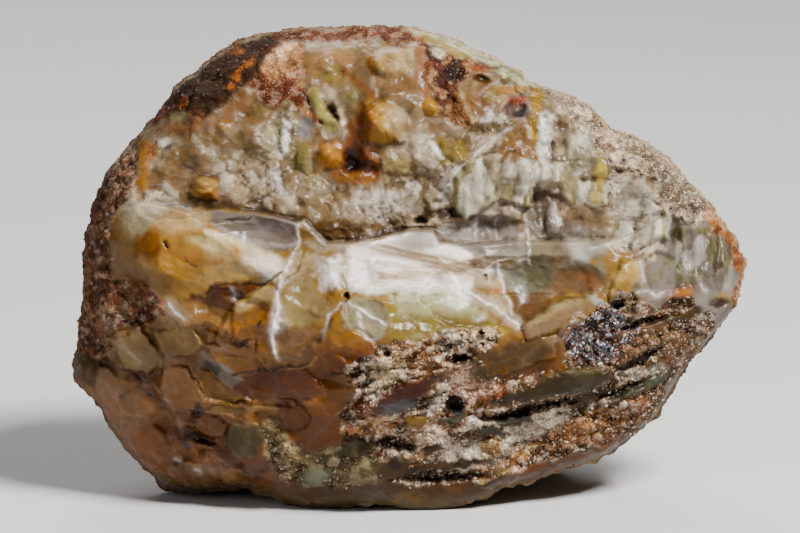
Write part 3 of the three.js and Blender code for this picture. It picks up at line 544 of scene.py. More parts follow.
def oval(u, v, radius_u, radius_v, turn, reach, ragged=False):
    """The part of the sheets round an oval, and how far along each of its radii every place is"""
    part = window(u - reach, u + reach, v - reach, v + reach)
    a, b = turned(*moved(part, ragged), u, v, turn)
    return part, a / radius_u, b / radius_v


def patch(ring, softness=0.5, ragged=True):
    """How far each place is inside a ring, from 0 to 1"""
    mask = np.zeros(U.shape)
    part = window_of(ring, softness + 2)
    u, v = moved(part, ragged)
    away = away_from_line(ring + ring[:1], u, v)
    signed = np.where(inside_ring(ring, u, v), away, -away)
    mask[part] = smooth(-softness, softness, signed)
    return mask


def facet(ring, softness=0.5):
    """A patch with a crisper outline"""
    return patch(ring, softness, False)


def spot(u, v, radius_u, radius_v, turn=0, softness=0.5, ragged=False):
    mask = np.zeros(U.shape)
    reach = max(radius_u, radius_v) * (1 + softness) + 1.5
    part, a, b = oval(u, v, radius_u, radius_v, turn, reach, ragged)
    mask[part] = 1 - smooth(1 - softness, 1 + softness, np.hypot(a, b))
    return mask


def stroke(line, half_width, softness=0.5):
    mask = np.zeros(U.shape)
    part = window_of(line, half_width * 2 + 1.5)
    away = away_from_line(line, *moved(part))
    mask[part] = 1 - smooth(half_width * (1 - softness), half_width * (1 + softness), away)
    return mask


def joined(masks):
    """Where any of the masks is"""
    total = np.zeros(U.shape)
    for mask in masks:
        total = np.maximum(total, mask)
    return total


# Kinds of surface on the face

left_rind = patch(LEFT_RIND, 0.35)
top_left_rind = facet(TOP_LEFT_RIND, 0.25)
sand_rind = patch(SAND_RIND, 0.35)
red_tip = patch(RED_TIP, 0.3)
rubble = patch(RUBBLE, 0.3)
low_crust = patch(LOW_CRUST)
dark_crystals = patch(DARK_CRYSTALS)
tan_crust = patch(TAN_CRUST, 0.4)
red_crust = patch(RED_CRUST, 0.4)
top_crust = patch(TOP_CRUST, 0.4)
rust_channel = patch(RUST_CHANNEL, 0.4)
curtain = facet(CURTAIN, 0.25)
crusts = unit(tan_crust + red_crust + top_crust + 0.8 * rust_channel)
gritty = unit(left_rind + top_left_rind + sand_rind + red_tip + crusts)
rim_line = np.interp(U, *zip(*SHELF_RIM))
above_rim = smooth(0, RIM_STEP, V - rim_line + RIM_STEP)
wall = above_rim * (1 - gritty)
low_left = patch(FACES_LOW_LEFT, 1.5)
rubbly = unit(rubble + 0.7 * low_crust)
glassy = unit(1 - wall - gritty - rubbly)

# Dark glassy lenses that lie along the rubble's bedding: u, v, half length, half width and any turn
LENSES = [
    (21.4, -16.2, 7.6, 1.7, 13), (15.4, -12.4, 6.4, 2.1, 22), (14.6, -21, 3.2, 1, -4),
    (12, -22.8, 2.4, 0.7, -8), (0.4, -16.8, 5.8, 1.3, 22), (-1.4, -19, 2.8, 1.2, 12), (0.6, -21, 2.2, 0.9),
    (6.6, -19.2, 1.3, 1.2), (6.8, -20.9, 1.9, 0.6, 12), (5.6, -27.4, 6.4, 0.8, 4),
    (-3.6, -28.4, 4.8, 1.3, 10), (-7.6, -25.2, 2, 1.4), (33.4, -16.6, 4.8, 0.9, 22),
    (25.6, -18.2, 3.8, 0.6, 16), (36.6, -7.2, 3.6, 0.7, 18), (32, -13.2, 3.4, 0.6, 32),
    (7.8, -12.6, 2.4, 0.6, 4), (-13.4, -29.2, 2.4, 1.2, 10), (-12, -26.4, 2.4, 0.7, -20),
    (24.4, -26.4, 4.6, 0.6, 12), (9.4, -30.6, 6.8, 0.8, 8), (-1.4, -31.4, 4, 0.8, -4),
    (3.4, -25.4, 1.6, 0.5, 15), (-9.4, -18.6, 1.6, 1.2), (40, -6.2, 2.2, 0.5, 20),
    (13.4, -18.4, 1.8, 0.9, 10), (20.4, -14, 3.4, 0.5, 8),
]
lenses = joined([spot(*place, softness=0.25, ragged=True) for place in LENSES] + [facet(LONG_SLAB, 0.3)])
crumbly = rubbly * (1 - lenses)

# Where the wall is made of small bright crystals rather than clear stone
SPARKLING = [
    (-20, 13.6, 5.4, 4.4), (-16.8, 18.4, 1.8, 4.6), (-23.6, 13, 1.8, 3.4), (-28.6, 17.4, 0.8, 2, 35),
    (-35.2, 16.8, 1.2, 1.8), (-36, 9.8, 3, 1.2, -20), (-4.4, 8.8, 4.4, 2.4), (-9.4, 8.6, 1.4, 1.8),
    (0.6, 12.6, 2.6, 2), (-3.4, 9.4, 3.2, 1.8), (5, 10.4, 3, 2.4, 20), (19.6, 19.4, 1.4, 4.2),
    (23, 13.4, 2.8, 3), (26.6, 10.2, 1.8, 1), (29, 11, 1.4, 3), (20.8, 6.8, 1.6, 2.2, 20), (-6, 31.6, 2, 1),
    (12.6, 21, 2.6, 1.4, 20), (-17, 21.4, 1.4, 2.4), (-12.2, 12, 3, 1.4), (15, 26.2, 1.8, 0.8),
    (5.4, 13.4, 2.4, 1.6),
]
sparkling = joined(spot(*place, softness=0.35, ragged=True) for place in SPARKLING) * wall

# Height of the broken face

broad = blend_heights(WALL_HEIGHTS, HEIGHT_SPREAD, U, V)
broad_mass = blend_heights(MASS_HEIGHTS, HEIGHT_SPREAD, U, V)
broad = broad_mass + (broad - broad_mass) * above_rim


def read_sheet(sheet, u, v):
    """The value of a sheet at any place, between its samples"""
    x = np.clip((u - sheet_u[0]) / GRID_STEP, 0, len(sheet_u) - 1.001)
    y = np.clip((v - sheet_v[0]) / GRID_STEP, 0, len(sheet_v) - 1.001)
    i = x.astype(int)
    j = y.astype(int)
    fx = x - i
    fy = y - j
    if sheet.ndim == 3:
        fx = fx[..., None]
        fy = fy[..., None]
    low = sheet[j, i] * (1 - fx) + sheet[j, i + 1] * fx
    high = sheet[j + 1, i] * (1 - fx) + sheet[j + 1, i + 1] * fx
    return low * (1 - fy) + high * fy


def evened(sheet, reach):
    """The sheet averaged twice over a square of this half width in millimetres"""
    n = int(round(reach / GRID_STEP))
    out = sheet
    for axis in (0, 1, 0, 1):
        padded = np.concatenate([np.repeat(out.take([0], axis), n + 1, axis), out,
                                 np.repeat(out.take([-1], axis), n, axis)], axis)
        run = np.cumsum(padded, axis)
        size = out.shape[axis]
        ahead = run.take(range(2 * n + 1, 2 * n + 1 + size), axis)
        out = (ahead - run.take(range(size), axis)) / (2 * n + 1)
    return out


SCALLOP_REACH = 2.2
FACET_RISE = 0.5
FACET_SHARE = 0.9
KNOB_RISE = 0.75
RIDGE_RISE = 0.55
RIDGE_WIDTH = 0.7

height = broad.copy()
for su, sv, half_u, half_v, turn, depth, *fall in SCALLOPS:
    fall_u, fall_v = fall or (0, 0)
    part, a, b = oval(su, sv, half_u, half_v, turn, SCALLOP_REACH * (half_u + half_v))
    u, v = moved(part)
    away = a ** 2 + b ** 2
    ground = read_sheet(broad, su, sv) - fall_u * (u - su) - fall_v * (v - sv)
    here = height[part]
    dished = np.minimum(here, np.maximum(ground - depth * (1 - away), here - depth))
    height[part] = np.where(away < 4, dished, here)
for corners, rise, slope_u, slope_v in SLABS:
    middle_u, middle_v = np.mean(corners, 0)
    part = window_of(corners, 3)
    u, v = moved(part)
    outside = np.where(inside_ring(corners, u, v), 0, away_from_line(corners + corners[:1], u, v))
    here = height[part]
    top = read_sheet(broad, middle_u, middle_v) + rise + slope_u * (u - middle_u) + slope_v * (v - middle_v)
    height[part] = np.maximum(here, np.minimum(top, here + rise) - SLAB_SIDE * outside)
left_facets = np.zeros(U.shape)
for corners, _, rise, lean_u, lean_v in LEFT_FACETS:
    inside = facet(corners, 0.2)
    part = np.nonzero(inside > 0.5)
    middle_u = U[part].mean()
    middle_v = V[part].mean()
    ground = np.stack((np.ones(len(part[0])), U[part] - middle_u, V[part] - middle_v), 1)
    level, across, upward = np.linalg.lstsq(ground, height[part], rcond=None)[0]
    plane = level + FACET_RISE * rise + (across + lean_u) * (U - middle_u)
    plane = plane + (upward + lean_v) * (V - middle_v)
    height = height * (1 - FACET_SHARE * inside) + plane * FACET_SHARE * inside
    left_facets = np.maximum(left_facets, inside)
for ku, kv, radius_u, radius_v, rise in KNOBS:
    part = window(ku - radius_u, ku + radius_u, kv - radius_v, kv + radius_v)
    away = ((U[part] - ku) / radius_u) ** 2 + ((V[part] - kv) / radius_v) ** 2
    height[part] += KNOB_RISE * rise * (1 - smooth(0, 1, away))
for *shape, rise in BUMPS:
    part, a, b = oval(*shape, max(shape[2:4]) + 1)
    height[part] += rise * np.sqrt(unit(1 - (a ** 2 + b ** 2)))
for *shape, depth in PITS:
    part, a, b = oval(*shape, max(shape[2:4]) + 1)
    height[part] -= depth * unit(1 - a ** 2 - b ** 2)
for line, half_width, rise in RIDGES:
    part = window_of(line, 3)
    away = away_from_line(line, *moved(part))
    height[part] += RIDGE_RISE * rise * np.exp(-((away / (RIDGE_WIDTH * half_width)) ** 2))

# Facets and lumps in several sizes: height in the facet, nearness to an edge, a number per facet
big_chip, big_edge, big_name = chips(*RAGGED, 6.0, 61, 1.8, -38, 0.9, 0.8, 0.6)
mid_chip, mid_edge, mid_name = chips(*WAVY, 3.0, 71, 1.4, 25, 0.8, 0.8, 0.5)
small_chip, small_edge, small_name = chips(*WAVY, 1.3, 81, 1.3, 70, 0.7, 0.9, 0.6)
fine_chip, _, fine_name = chips(U, V, 0.6, 91, 1.0, 10, 0.8, 0.8, 0.6)
tooth_chip, _, tooth_name = chips(*WAVY, 1.25, 96, 3.2, 84, 0.6, 1.0, 0.8)
bed_chip, bed_edge, bed_name = chips(*RAGGED, 2.2, 101, 2.6, 17, 0.8, 0.7, 1.0)
crumb_chip, crumb_edge, crumb_name = chips(*WAVY, 0.9, 111, 1.2, 20, 0.4, 1.1, 1.2)
bead_chip, _, bead_name = chips(U, V, 0.5, 121, 1.0, 50, 0.4, 1.0, 1.0)

# The plume curtain: upright teeth with ragged lower ends, standing proud of the smooth wall
height += curtain * (1.1 + 1.3 * (0.4 - tooth_chip))
tall = smooth(28, 30, U) * (1 - smooth(36.4, 37, U)) * smooth(2, 3.5, V) * (1 - smooth(12.5, 13.5, V))
flutes = smooth(37.6, 38.4, U) * (1 - smooth(46, 46.6, U)) * smooth(-3.6, -2, V) * (1 - smooth(5.6, 6.4, V))
height += (0.8 * tall + 0.9 * flutes) * (0.4 - tooth_chip)
height += flutes * 0.3 * np.cos((U - 39) / 2 * 2 * math.pi)

clear = wall * (1 - sparkling) * (1 - curtain)
height += (1 - 0.85 * left_facets) * low_left * glassy * (0.9 * (big_chip - 0.5) + 0.14 * (mid_chip - 0.5))
height += 0.16 * (1 - low_left) * glassy * (mid_chip - 0.5)
height += wall * (0.8 * clouds(U, V, 6, 121) + 0.75 * (mid_chip - 0.5))
height += clear * (0.22 * (0.5 - small_chip) + 0.2 * clouds(U, V, 1.6, 125))
height += sparkling * (1 - 0.6 * curtain) * (0.5 * (0.5 - small_chip) + 0.25 * (0.5 - fine_chip))
height += rubbly * 0.9 * (0.5 - bed_chip) - crumbly * 0.35 * bed_edge
crumbs = crumbly * smooth(-0.25, 0.25, clouds(U, V, 2.4, 131, stretch=2.2, turn=17))
height += crumbs * (0.95 * (0.4 - crumb_chip) + 0.35 * (0.4 - bead_chip))
height += (crumbly - crumbs) * (0.4 * (0.5 - crumb_chip) - 0.35)
height += lenses * rubbly * (0.25 - 0.12 * small_chip)
height += gritty * (0.3 * (0.4 - crumb_chip) + 0.22 * (0.4 - bead_chip) + 0.5 * clouds(U, V, 2.6, 135))
height += (sand_rind + 0.6 * left_rind) * (1.3 * (0.5 - mid_chip) + 0.8 * (0.4 - small_chip))
height += dark_crystals * crumbly * 0.5 * (0.4 - fine_chip)

# The first shape follows an even sheet, evener towards the sides, and the relief is set on it afterwards
sideways = smooth(8, 24, np.abs(U))
even_height = evened(height, 1.1) * (1 - sideways) + evened(height, 2.6) * sideways
relief = height - evened(height, 0.55)
broad_relief = height - evened(height, 2.2)

# Colours of the face, laid one over another

stain = np.zeros(U.shape + (3,))
stain[:] = paint("93795A")


def laid(ground, share, colour):
    """The ground with a colour laid over it, as strongly as the share says"""
    share = share[..., None]
    return ground * (1 - share) + paint(colour) * share


def lay(mask, colour, strength):
    stain[:] = laid(stain, unit(mask) * strength, colour)


def lay_each(kind, rows):
    """Lays many places of one kind: the shape of each, then its colour and strength"""
    for *shape, colour, strength in rows:
        lay(kind(*shape), colour, strength)


def lay_crumbs(mask, base, pale, dark):
    """A colour and its strength, then lighter and darker crumbs: past which number, colour, strength"""
    lay(mask, *base)
    lay(mask * (crumb_name > pale[0]), *pale[1:])
    lay(mask * (crumb_name < dark[0]), *dark[1:])


def spread(wave, seed, low, high, **ways):
    """Random patches, from 0 to 1"""
    return smooth(low, high, clouds(U, V, wave, seed, **ways))


# The wall: grey-tan chalcedony clouded with milk, olive and smoke
lay(wall, "957A5C", 0.9)
lay(wall * smooth(-8, 8, U) * (1 - smooth(16, 26, V)), "A08C76", 0.7)
lay(wall * smooth(-12, -26, U), "8A7058", 0.75)
lay(wall * spread(5, 211, 0.1, 0.6), "6E5438", 0.45)
lay(wall * spread(4, 221, 0.25, 0.7), "8C8048", 0.35)
lay(wall * spread(2.6, 226, 0.25, 0.55), "B4A692", 0.45)
lay(wall * spread(3, 241, 0.4, 0.75) * smooth(12, 24, V), "A8703A", 0.5)
lay(sparkling, "9C886C", 0.5)
lay(sparkling * spread(1.2, 231, 0, 0.4), "C8BEAC", 0.35)
lay(sparkling * (small_name > 0.8), "DCD6CC", 0.5)
lay(sparkling * (small_name < 0.3), "7A6850", 0.5)
lay(wall * (1 - sparkling) * (small_name > 0.86), "C8BCA6", 0.45)
lay(wall * (1 - sparkling) * (small_name < 0.16), "5E4A30", 0.45)
lay(wall * (mid_name > 0.66), "B0A288", 0.25)
lay(wall * (mid_name < 0.3), "74603E", 0.25)
# Paler on the raised lumps: partly the stone's own colour, partly a painted highlight
lay(wall * smooth(0.2, 0.6, relief), "C0B498", 0.35)
lay(spot(11, 13.6, 3, 2.4, 0, 0.7, True), "7E6A44", 0.6)
# Darker brown in the hollows: partly the stone's own colour, partly painted shade
lay(wall * smooth(-0.06, -0.3, relief), "543C22", 0.7)

# Below the rim: warm translucent stone, darker and browner to the lower left
lay(glassy, "9C7A48", 0.95)
lay(glassy * smooth(-4, -16, V), "8A5A30", 0.85)
lay(glassy * smooth(-12, -22, V), "7A4A28", 0.7)
low_stone = glassy * low_left
for low, high, colour, strength in [
    (0, 0.2, "9A6638", 0.65), (0.2, 0.4, "7E4E2A", 0.65), (0.4, 0.55, "AC7844", 0.6),
    (0.55, 0.7, "8A5A30", 0.6), (0.7, 0.85, "A07040", 0.55), (0.85, 1, "6E4426", 0.6),
]:
    lay(low_stone * (big_name >= low) * (big_name < high), colour, strength)
lay(low_stone * (mid_name > 0.7), "A87A4A", 0.25)
lay(low_stone * (mid_name < 0.25), "563620", 0.3)
lay(low_stone * spread(1.6, 256, 0.35, 0.6), "5A3822", 0.35)
lay(low_stone * spread(1.1, 257, 0.45, 0.6), "AE8A62", 0.4)
# Paler near the big chip edges: a painted highlight where the edges catch the light
lay(low_stone * big_edge, "A0784C", 0.2)
for corners, colour, *_ in LEFT_FACETS:
    lay(facet(corners, 0.15), colour, 0.85)
    lay(stroke(corners + corners[:1], 0.08), "4E301C", 0.2)
lay(left_facets * spread(2, 258, 0, 0.5, stretch=3, turn=-35), "B48E66", 0.3)
lay(left_facets * spread(1.4, 259, 0.2, 0.5, stretch=2, turn=-35), "5E3A20", 0.3)
# Thin pale lines along the facet edges of the lower left: painted highlights on the edges
for line in [
    [(-28.8, -12.2), (-26.4, -15.4), (-24.6, -16.6)],
    [(-24, -12.2), (-23.8, -14.8), (-21, -14.9), (-21.4, -12.6)],
    [(-30.4, -14), (-28.8, -16.6), (-28.4, -18)], [(-30, -19.9), (-26, -20.3), (-21.8, -21.4)],
    [(-36.6, -14.6), (-35.4, -15), (-33.6, -18.6)], [(-18.4, -19.5), (-24, -18.5), (-28.6, -18.2)],
    [(-25.8, -24), (-24.6, -22), (-20.8, -21.8)], [(-34.4, -12), (-30, -12), (-28.8, -10.2)],
    [(-41.4, -17.4), (-40.6, -20.4), (-40.8, -22.4)], [(-17.2, -13.4), (-15.2, -10.8), (-12.8, -9)],
    [(-16.8, -13.8), (-14, -13.4), (-12.4, -12.2)],
]:
    lay(stroke(line, 0.1), "C8A070", 0.55)
lay(stroke([(-17.2, -13.2), (-15.4, -11), (-13.4, -9.2)], 0.35, 0.3), "AE8850", 0.7)
lay(glassy * smooth(30, 36, U), "8E8680", 0.9)
lay(glassy * smooth(30, 36, U) * spread(2.2, 262, 0.1, 0.5), "8E8A5C", 0.5)
lay(glassy * smooth(-38, -42, U), "93795A", 0.5)

# The shelf and its lip
lay(facet(GREY_SHELF, 0.5), "A89C8E", 0.9)
lay(patch([(6, 4.6), (16, 4.6), (16, 2.4), (8, 2.2)], 0.6), "8C837A", 0.8)
lay(facet([(16, 4.3), (28.4, 4.4), (28, 1.6), (22, 1.4), (17, 1.6)], 0.5), "8C7E66", 0.8)
lay(facet(LILAC_LIP, 0.25), "85796F", 0.95)
lay(facet(LILAC_LIP, 0.3) * spread(2.4, 263, 0, 0.5, stretch=3, turn=-8), "8C8490", 0.3)
lay(stroke([(-27.4, 6.6), (-25, 5.2), (-22, 4), (-18.6, 3.4), (-15.8, 3.6)], 0.3), "A89C98", 0.7)
lay(facet(GREY_RECESS, 0.35), "9A9088", 0.95)
# The top of the grey recess darker: painted shade under the overhanging wall
lay(facet(GREY_RECESS, 0.35) * smooth(5.6, 8, V), "6E625A", 0.7)
lay(spot(12, 9.2, 3.6, 1.5, 0, 0.5, True), "B8AC9C", 0.7)
lay(facet(GREY_POCKET, 0.35), "7C7268", 0.85)
lay(spot(-3.6, 9.2, 3.2, 1.6, 0, 0.5, True), "CFC6BC", 0.6)
lay(spot(-10, 5.6, 4.6, 1.6, 0, 0.3), "6B4E2C", 0.9)
lay(facet([(-15, 4.2), (-13, 2.6), (-4, 2.6), (-3, 4), (-8, 4.1), (-11.5, 4)], 0.4), "A8937A", 0.9)
lay(spot(-40, 3, 2.6, 5.4, 0, 0.4), "886A4C", 0.9)
lay(spot(-38, 7.6, 2.4, 2.6), "B0A484", 0.8)
lay(patch(AMBER_BULGE, 0.4), "B4863F", 0.92)
lay_each(spot, [
    (-32, 7, 3.4, 1.8, "BC9C6C", 0.8), (-29, 7.4, 1.4, 1.2, 0, 0.4, "B8A078", 0.8),
    (-26.5, 2.2, 2.2, 1.8, -20, "BCA67C", 0.8),
])
lay(patch(AMBER_CORE), "B58242", 0.6)
lay(stroke([(-33.6, 4), (-32.4, 2), (-29, 0.9), (-26, 1.4)], 0.5), "A8702C", 0.5)
lay(patch(RUSTY_SIDE, 0.6), "94602F", 0.85)
lay_each(spot, [
    (-28, 3.7, 2.6, 0.8, -15, "D2BA84", 0.85), (-34, -1.6, 4, 1.6, 0, 0.6, "8A6640", 0.75),
    (-26.4, -1, 4, 1.3, 8, "A08658", 0.8), (-22.6, 0.1, 2, 1, -10, "B8A474", 0.7),
])
lay(patch(RED_SEAM, 0.3), "6E3E24", 0.9)
lay(spot(-28.5, -6.2, 4.6, 1.5, -5, 0.6), "A07850", 0.75)
lay(facet(AMBER_BLOCK, 0.3), "B29C72", 0.9)
lay(patch(OLIVE_LEFT, 0.6), "9A8460", 0.85)
lay(spot(-15.4, -5.6, 1.6, 2.4), "A09058", 0.6)
lay(patch(ORANGE_BLOCK, 0.4), "946A44", 0.95)
lay(facet([(-24.6, -5.2), (-22, -3.6), (-19.4, -1.8), (-18.8, -3.6), (-21, -4.8), (-24, -6.4)], 0.3),
    "B49664", 0.9)
lay(patch(ORANGE_BLOCK, 0.4) * spread(1.8, 264, 0.2, 0.5), "A06A34", 0.6)
lay(facet([(3.6, 1.8), (9, 1.8), (9.4, -2.2), (4, -2)], 0.5), "C4A37C", 0.85)
lay(facet([(9, 1.6), (12.2, 1.4), (12, -2.2), (9, -2.2)], 0.4), "B5A690", 0.8)
lay(patch(GREEN_CHANNEL, 0.6), "8C8A7A", 0.95)
lay(patch([(17, 1.4), (20.4, 1.4), (20.8, -2.8), (17.4, -3.2)], 0.9), "706A50", 0.9)
lay(patch(BROWN_CHANNEL, 0.8), "86633E", 0.85)
lay(patch([(20, -1.2), (28.6, -0.6), (28.8, -3.4), (20, -3.4)]), "92745A", 0.85)
lay(spot(16.2, -5.4, 1.9, 1.3), "8A6A50", 0.75)
lay(spot(25.8, -1.2, 1.5, 1.3, 0, 0.6), "96601E", 0.7)
lay(patch(PINK_SLOPE), "7C5E48", 0.9)
lay(facet([(12, -1.6), (13.4, -0.8), (14.8, -5.6), (13, -6), (11.6, -4)], 0.3), "BCA47C", 0.8)
lay(spot(12.4, -2.8, 0.5, 0.5, 0, 0.4), "B86C2C", 0.8)
lay(patch(GREEN_FACE, 0.4), "AEA87A", 0.95)
lay(patch(GREEN_FACE) * smooth(-5.2, -7.4, V), "8C7636", 0.9)
lay(patch(GREEN_FACE, 0.4) * smooth(-5.4, -2.8, V), "C2C2A2", 0.75)
lay(patch(GREEN_FACE, 0.4) * spread(2.4, 265, 0.2, 0.6, stretch=2.5, turn=-6), "C4BA88", 0.4)
lay(facet(MILKY_FACET, 0.25), "A09674", 0.95)
lay(facet(AMBER_FACET, 0.25), "A87A20", 0.95)
lay(facet(AMBER_FACET, 0.3) * smooth(-8.6, -11.4, V), "93561C", 0.85)
lay(facet(AMBER_FACET, 0.3) * smooth(-11.4, -13.6, V), "7A4418", 0.8)
lay(facet([(-17.6, -8.4), (-13.4, -7.8), (-12, -9.4), (-13.4, -12.6), (-17, -13)], 0.4), "866A54",
    0.85)
lay(stroke([(-16.5, -12), (-14.6, -10.2), (-12, -9.2)], 0.5), "8C6A44", 0.8)
lay(patch(OLIVE_FOOT, 0.4), "A08A34", 0.9)
lay(spot(12.3, -8.5, 1.4, 0.7, -10, 0.4), "B79A1E", 0.9)
lay(spot(-2, -6, 0.6, 1.8, 0, 0.4), "94801E", 0.8)
lay(patch(CHOC_LEDGE), "7A481C", 0.95)
lay(patch(CHOC_LEDGE, 0.4) * spread(1.6, 266, 0.2, 0.5), "8A582E", 0.6)
lay(facet(AMBER_LUMP, 0.3), "C2A05C", 0.95)
lay(spot(30.6, -2.4, 1.2, 0.9, 0, 0.4), "B0802C", 0.7)
lay(facet(AMBER_FACET_RIGHT, 0.3), "D6C490", 0.9)
lay_each(spot, [
    (30.6, 9, 1.2, 3, 0, 0.4, "D0C8BC", 0.7), (31.5, 4.6, 0.9, 1.8, "B08A3C", 0.8),
    (34.2, 3.6, 1.6, 1.4, 0, 0.6, True, "E2D4A8", 0.8), (38, 5.6, 1, 2.6, 0, 0.4, "5A4A2C", 0.85),
    (-23.2, -24, 2.5, 2.3, 0, 0.4, "5F5434", 0.85),
])
lay(facet([(-29.4, -11.6), (-25.6, -13.4), (-23, -15.6), (-25, -16.6), (-28.4, -13.6)], 0.25),
    "8E8880", 0.85)
lay(facet([(-28.6, -12.2), (-26.2, -13.8), (-26.6, -15), (-28.8, -13.6)], 0.25), "3E3826", 0.8)
lay(spot(-46, -14, 2.8, 2.9, 15, 0.4), "7A6248", 0.9)
lay(patch([(-42, -9.4), (-37, -8.6), (-35, -12), (-38, -14), (-41.6, -12)]), "A08A64", 0.5)
lay(spot(-37.4, -25, 1.6, 2.6, 20, 0.6), "A06230", 0.7)
lay(spot(-42, -20, 1.4, 1.8, 20, 0.6), "A0642E", 0.7)

# Stripes of milk and tan that run across the shelf
shelf = facet(STRIPED_SHELF, 0.5)
flow = clouds(U, V + 0.09 * U, 1.5, 371, stretch=7, turn=-4)
lay(shelf, "CDB89E", 0.9)
lay(shelf * smooth(0.05, 0.3, flow), "E2D8CE", 0.85)
lay(shelf * smooth(-0.1, -0.35, flow), "B4946E", 0.7)
lay(shelf * smooth(0.1, 0.3, clouds(U, V + 0.09 * U, 0.45, 375, stretch=9, turn=-4)), "F0E8E0", 0.35)
lay(spot(1, 4, 3, 1.3), "A0958F", 0.8)
lay(patch([(-12.8, 1.8), (-9.6, 1.6), (-9.2, -1.8), (-11.8, -2.2)], 0.9), "EAE2DC", 0.95)
lay(patch([(-9.3, 2), (-8.4, 2), (-8.2, -2.4), (-9.3, -2.4)], 0.4), "B8A68C", 0.7)
lay(patch([(-8, 2.6), (-5.4, 3), (-4.6, 0.4), (-4.8, -2.4), (-7.6, -2.8)], 1), "EAE4DE", 0.95)
lay(facet([(22.4, 5), (25.2, 5), (25.8, 2.6), (25.4, 0.8), (23.2, 1.2)], 0.8), "BEB8AC", 0.7)

lay(stroke([(-5.4, -2.7), (0, -2.7), (4, -2.6), (8.4, -3)], 0.6, 0.6), "D6D4BE", 0.9)

# Milk-white glows along the veins: the line, half width, how strong
vein_breaks = 0.45 + 0.55 * spread(0.8, 373, -0.3, 0.2)
for line, width, strength in [
    ([(-7, 2.6), (-4, 4.2)], 0.5, 0.6), ([(-4.4, 1.8), (-1, 1.2), (1, 0.5)], 0.4, 0.7),
    ([(-5.2, -2.4), (0, -2.3), (4, -2.2), (8, -2.6)], 0.3, 0.95),
    ([(8, -2.8), (10, -4), (12, -5), (13.6, -6.2), (15.6, -7.8)], 0.5, 0.85),
    ([(6, -0.3), (7.3, -2.5)], 0.2, 0.8), ([(-22.8, 2.2), (-20.6, 0.9), (-18, -0.1)], 0.35, 0.8),
    ([(-38, 9.8), (-35.6, 8.4)], 0.9, 0.55), ([(-34, 9.6), (-31, 9), (-30.6, 8.4)], 0.3, 0.5),
    ([(-17.3, -0.3), (-18.2, -3.4), (-18.1, -6), (-18.6, -8.4), (-18.9, -9.8), (-18.2, -12.4)], 0.32, 0.9),
    ([(-18.2, -6.2), (-17.7, -7.1), (-18.4, -8.2)], 0.5, 0.8), ([(-18.7, -8.6), (-18.8, -10)], 0.45, 0.8),
    ([(-15.2, 6.6), (-15.6, 3), (-16.4, 1.2), (-17.3, -0.3)], 0.2, 0.75),
    ([(-14.6, 6.8), (-13.2, 5.2), (-11.6, 4)], 0.2, 0.6),
    ([(-8, -4.6), (-5.6, -6), (-3.2, -7.6)], 0.24, 0.9), ([(-7, -6), (-6.3, -8.3)], 0.2, 0.8),
    ([(-11.8, -9.4), (-11, -6.8), (-9.2, -4.8)], 0.2, 0.7),
    ([(-6.6, -8.4), (-5.5, -9.8), (-4.2, -9.6)], 0.25, 0.6),
    ([(-33.6, -5), (-32.4, -6.2), (-31.6, -6.8)], 0.6, 0.6),
    ([(16.8, 7.6), (16.9, 4.6), (17.2, 1)], 0.14, 0.7), ([(12.6, 7.2), (12.5, 4.4)], 0.12, 0.6),
    ([(9.7, 7), (9.6, 4.4)], 0.18, 0.6), ([(11.3, 0.2), (12, 1), (14, 1.4), (17, 1.5)], 0.16, 0.8),
    ([(12.7, 0.8), (13.2, -1), (14, -4), (14.8, -6)], 0.16, 0.85), ([(26, 3), (29, 3.8)], 0.5, 0.5),
    ([(33.7, 10.5), (35.5, 7)], 0.4, 0.85), ([(31, 12), (31.6, 9)], 0.6, 0.6),
    ([(30.4, 11), (30, 7.4)], 0.4, 0.5), ([(36.9, 7.4), (36.9, 4.6)], 0.3, 0.6),
    ([(33, 1), (33, -1.6)], 0.3, 0.7), ([(40.8, -0.8), (42.6, -3)], 0.25, 0.7),
    ([(32.6, -3), (35.2, -3.4), (37.4, -2.8)], 0.4, 0.6), ([(39.4, 4.6), (39.6, -0.4)], 0.24, 0.5),
    ([(42.2, 5), (42.4, 0)], 0.24, 0.5), ([(44.6, 4), (44.8, 0)], 0.2, 0.4),
    ([(9.6, -6.8), (10.6, -6.6)], 0.3, 0.8),
    ([(5, 10.6), (7, 14), (9, 16), (12, 18.4), (14.4, 20)], 0.25, 0.6),
    ([(-24.4, -2.8), (-24, -4)], 0.3, 0.5), ([(-34.6, -18), (-34, -18.6)], 0.2, 0.7),
    ([(-32.8, -26.8), (-32.2, -27.3)], 0.2, 0.7), ([(-30, -28.4), (-29.5, -28.8)], 0.2, 0.6),
    ([(-40.6, -10.6), (-38, -12.8)], 0.4, 0.4),
]:
    lay(stroke(line, width * 1.5, 1.0), MILK, strength * 0.25)
    lay(stroke(line, width * 0.3) * vein_breaks, MILK, strength)
lay(stroke([(-28, 5.5), (-26, 4.5), (-24, 4), (-21, 2.8), (-18, 1.5)], 0.5, 0.9), "DCCFB0", 0.6)
lay(spot(-19.6, 0.8, 2.8, 1.3, -25, 0.9), "E6DCC6", 0.7)
lay(spot(-19.5, -0.8, 0.9, 0.4, 35), "A9AEB4", 0.85)
lay(stroke([(-36, -3), (-34.8, -4.6), (-34, -6.3)], 0.4, 0.4), "C08068", 0.9)

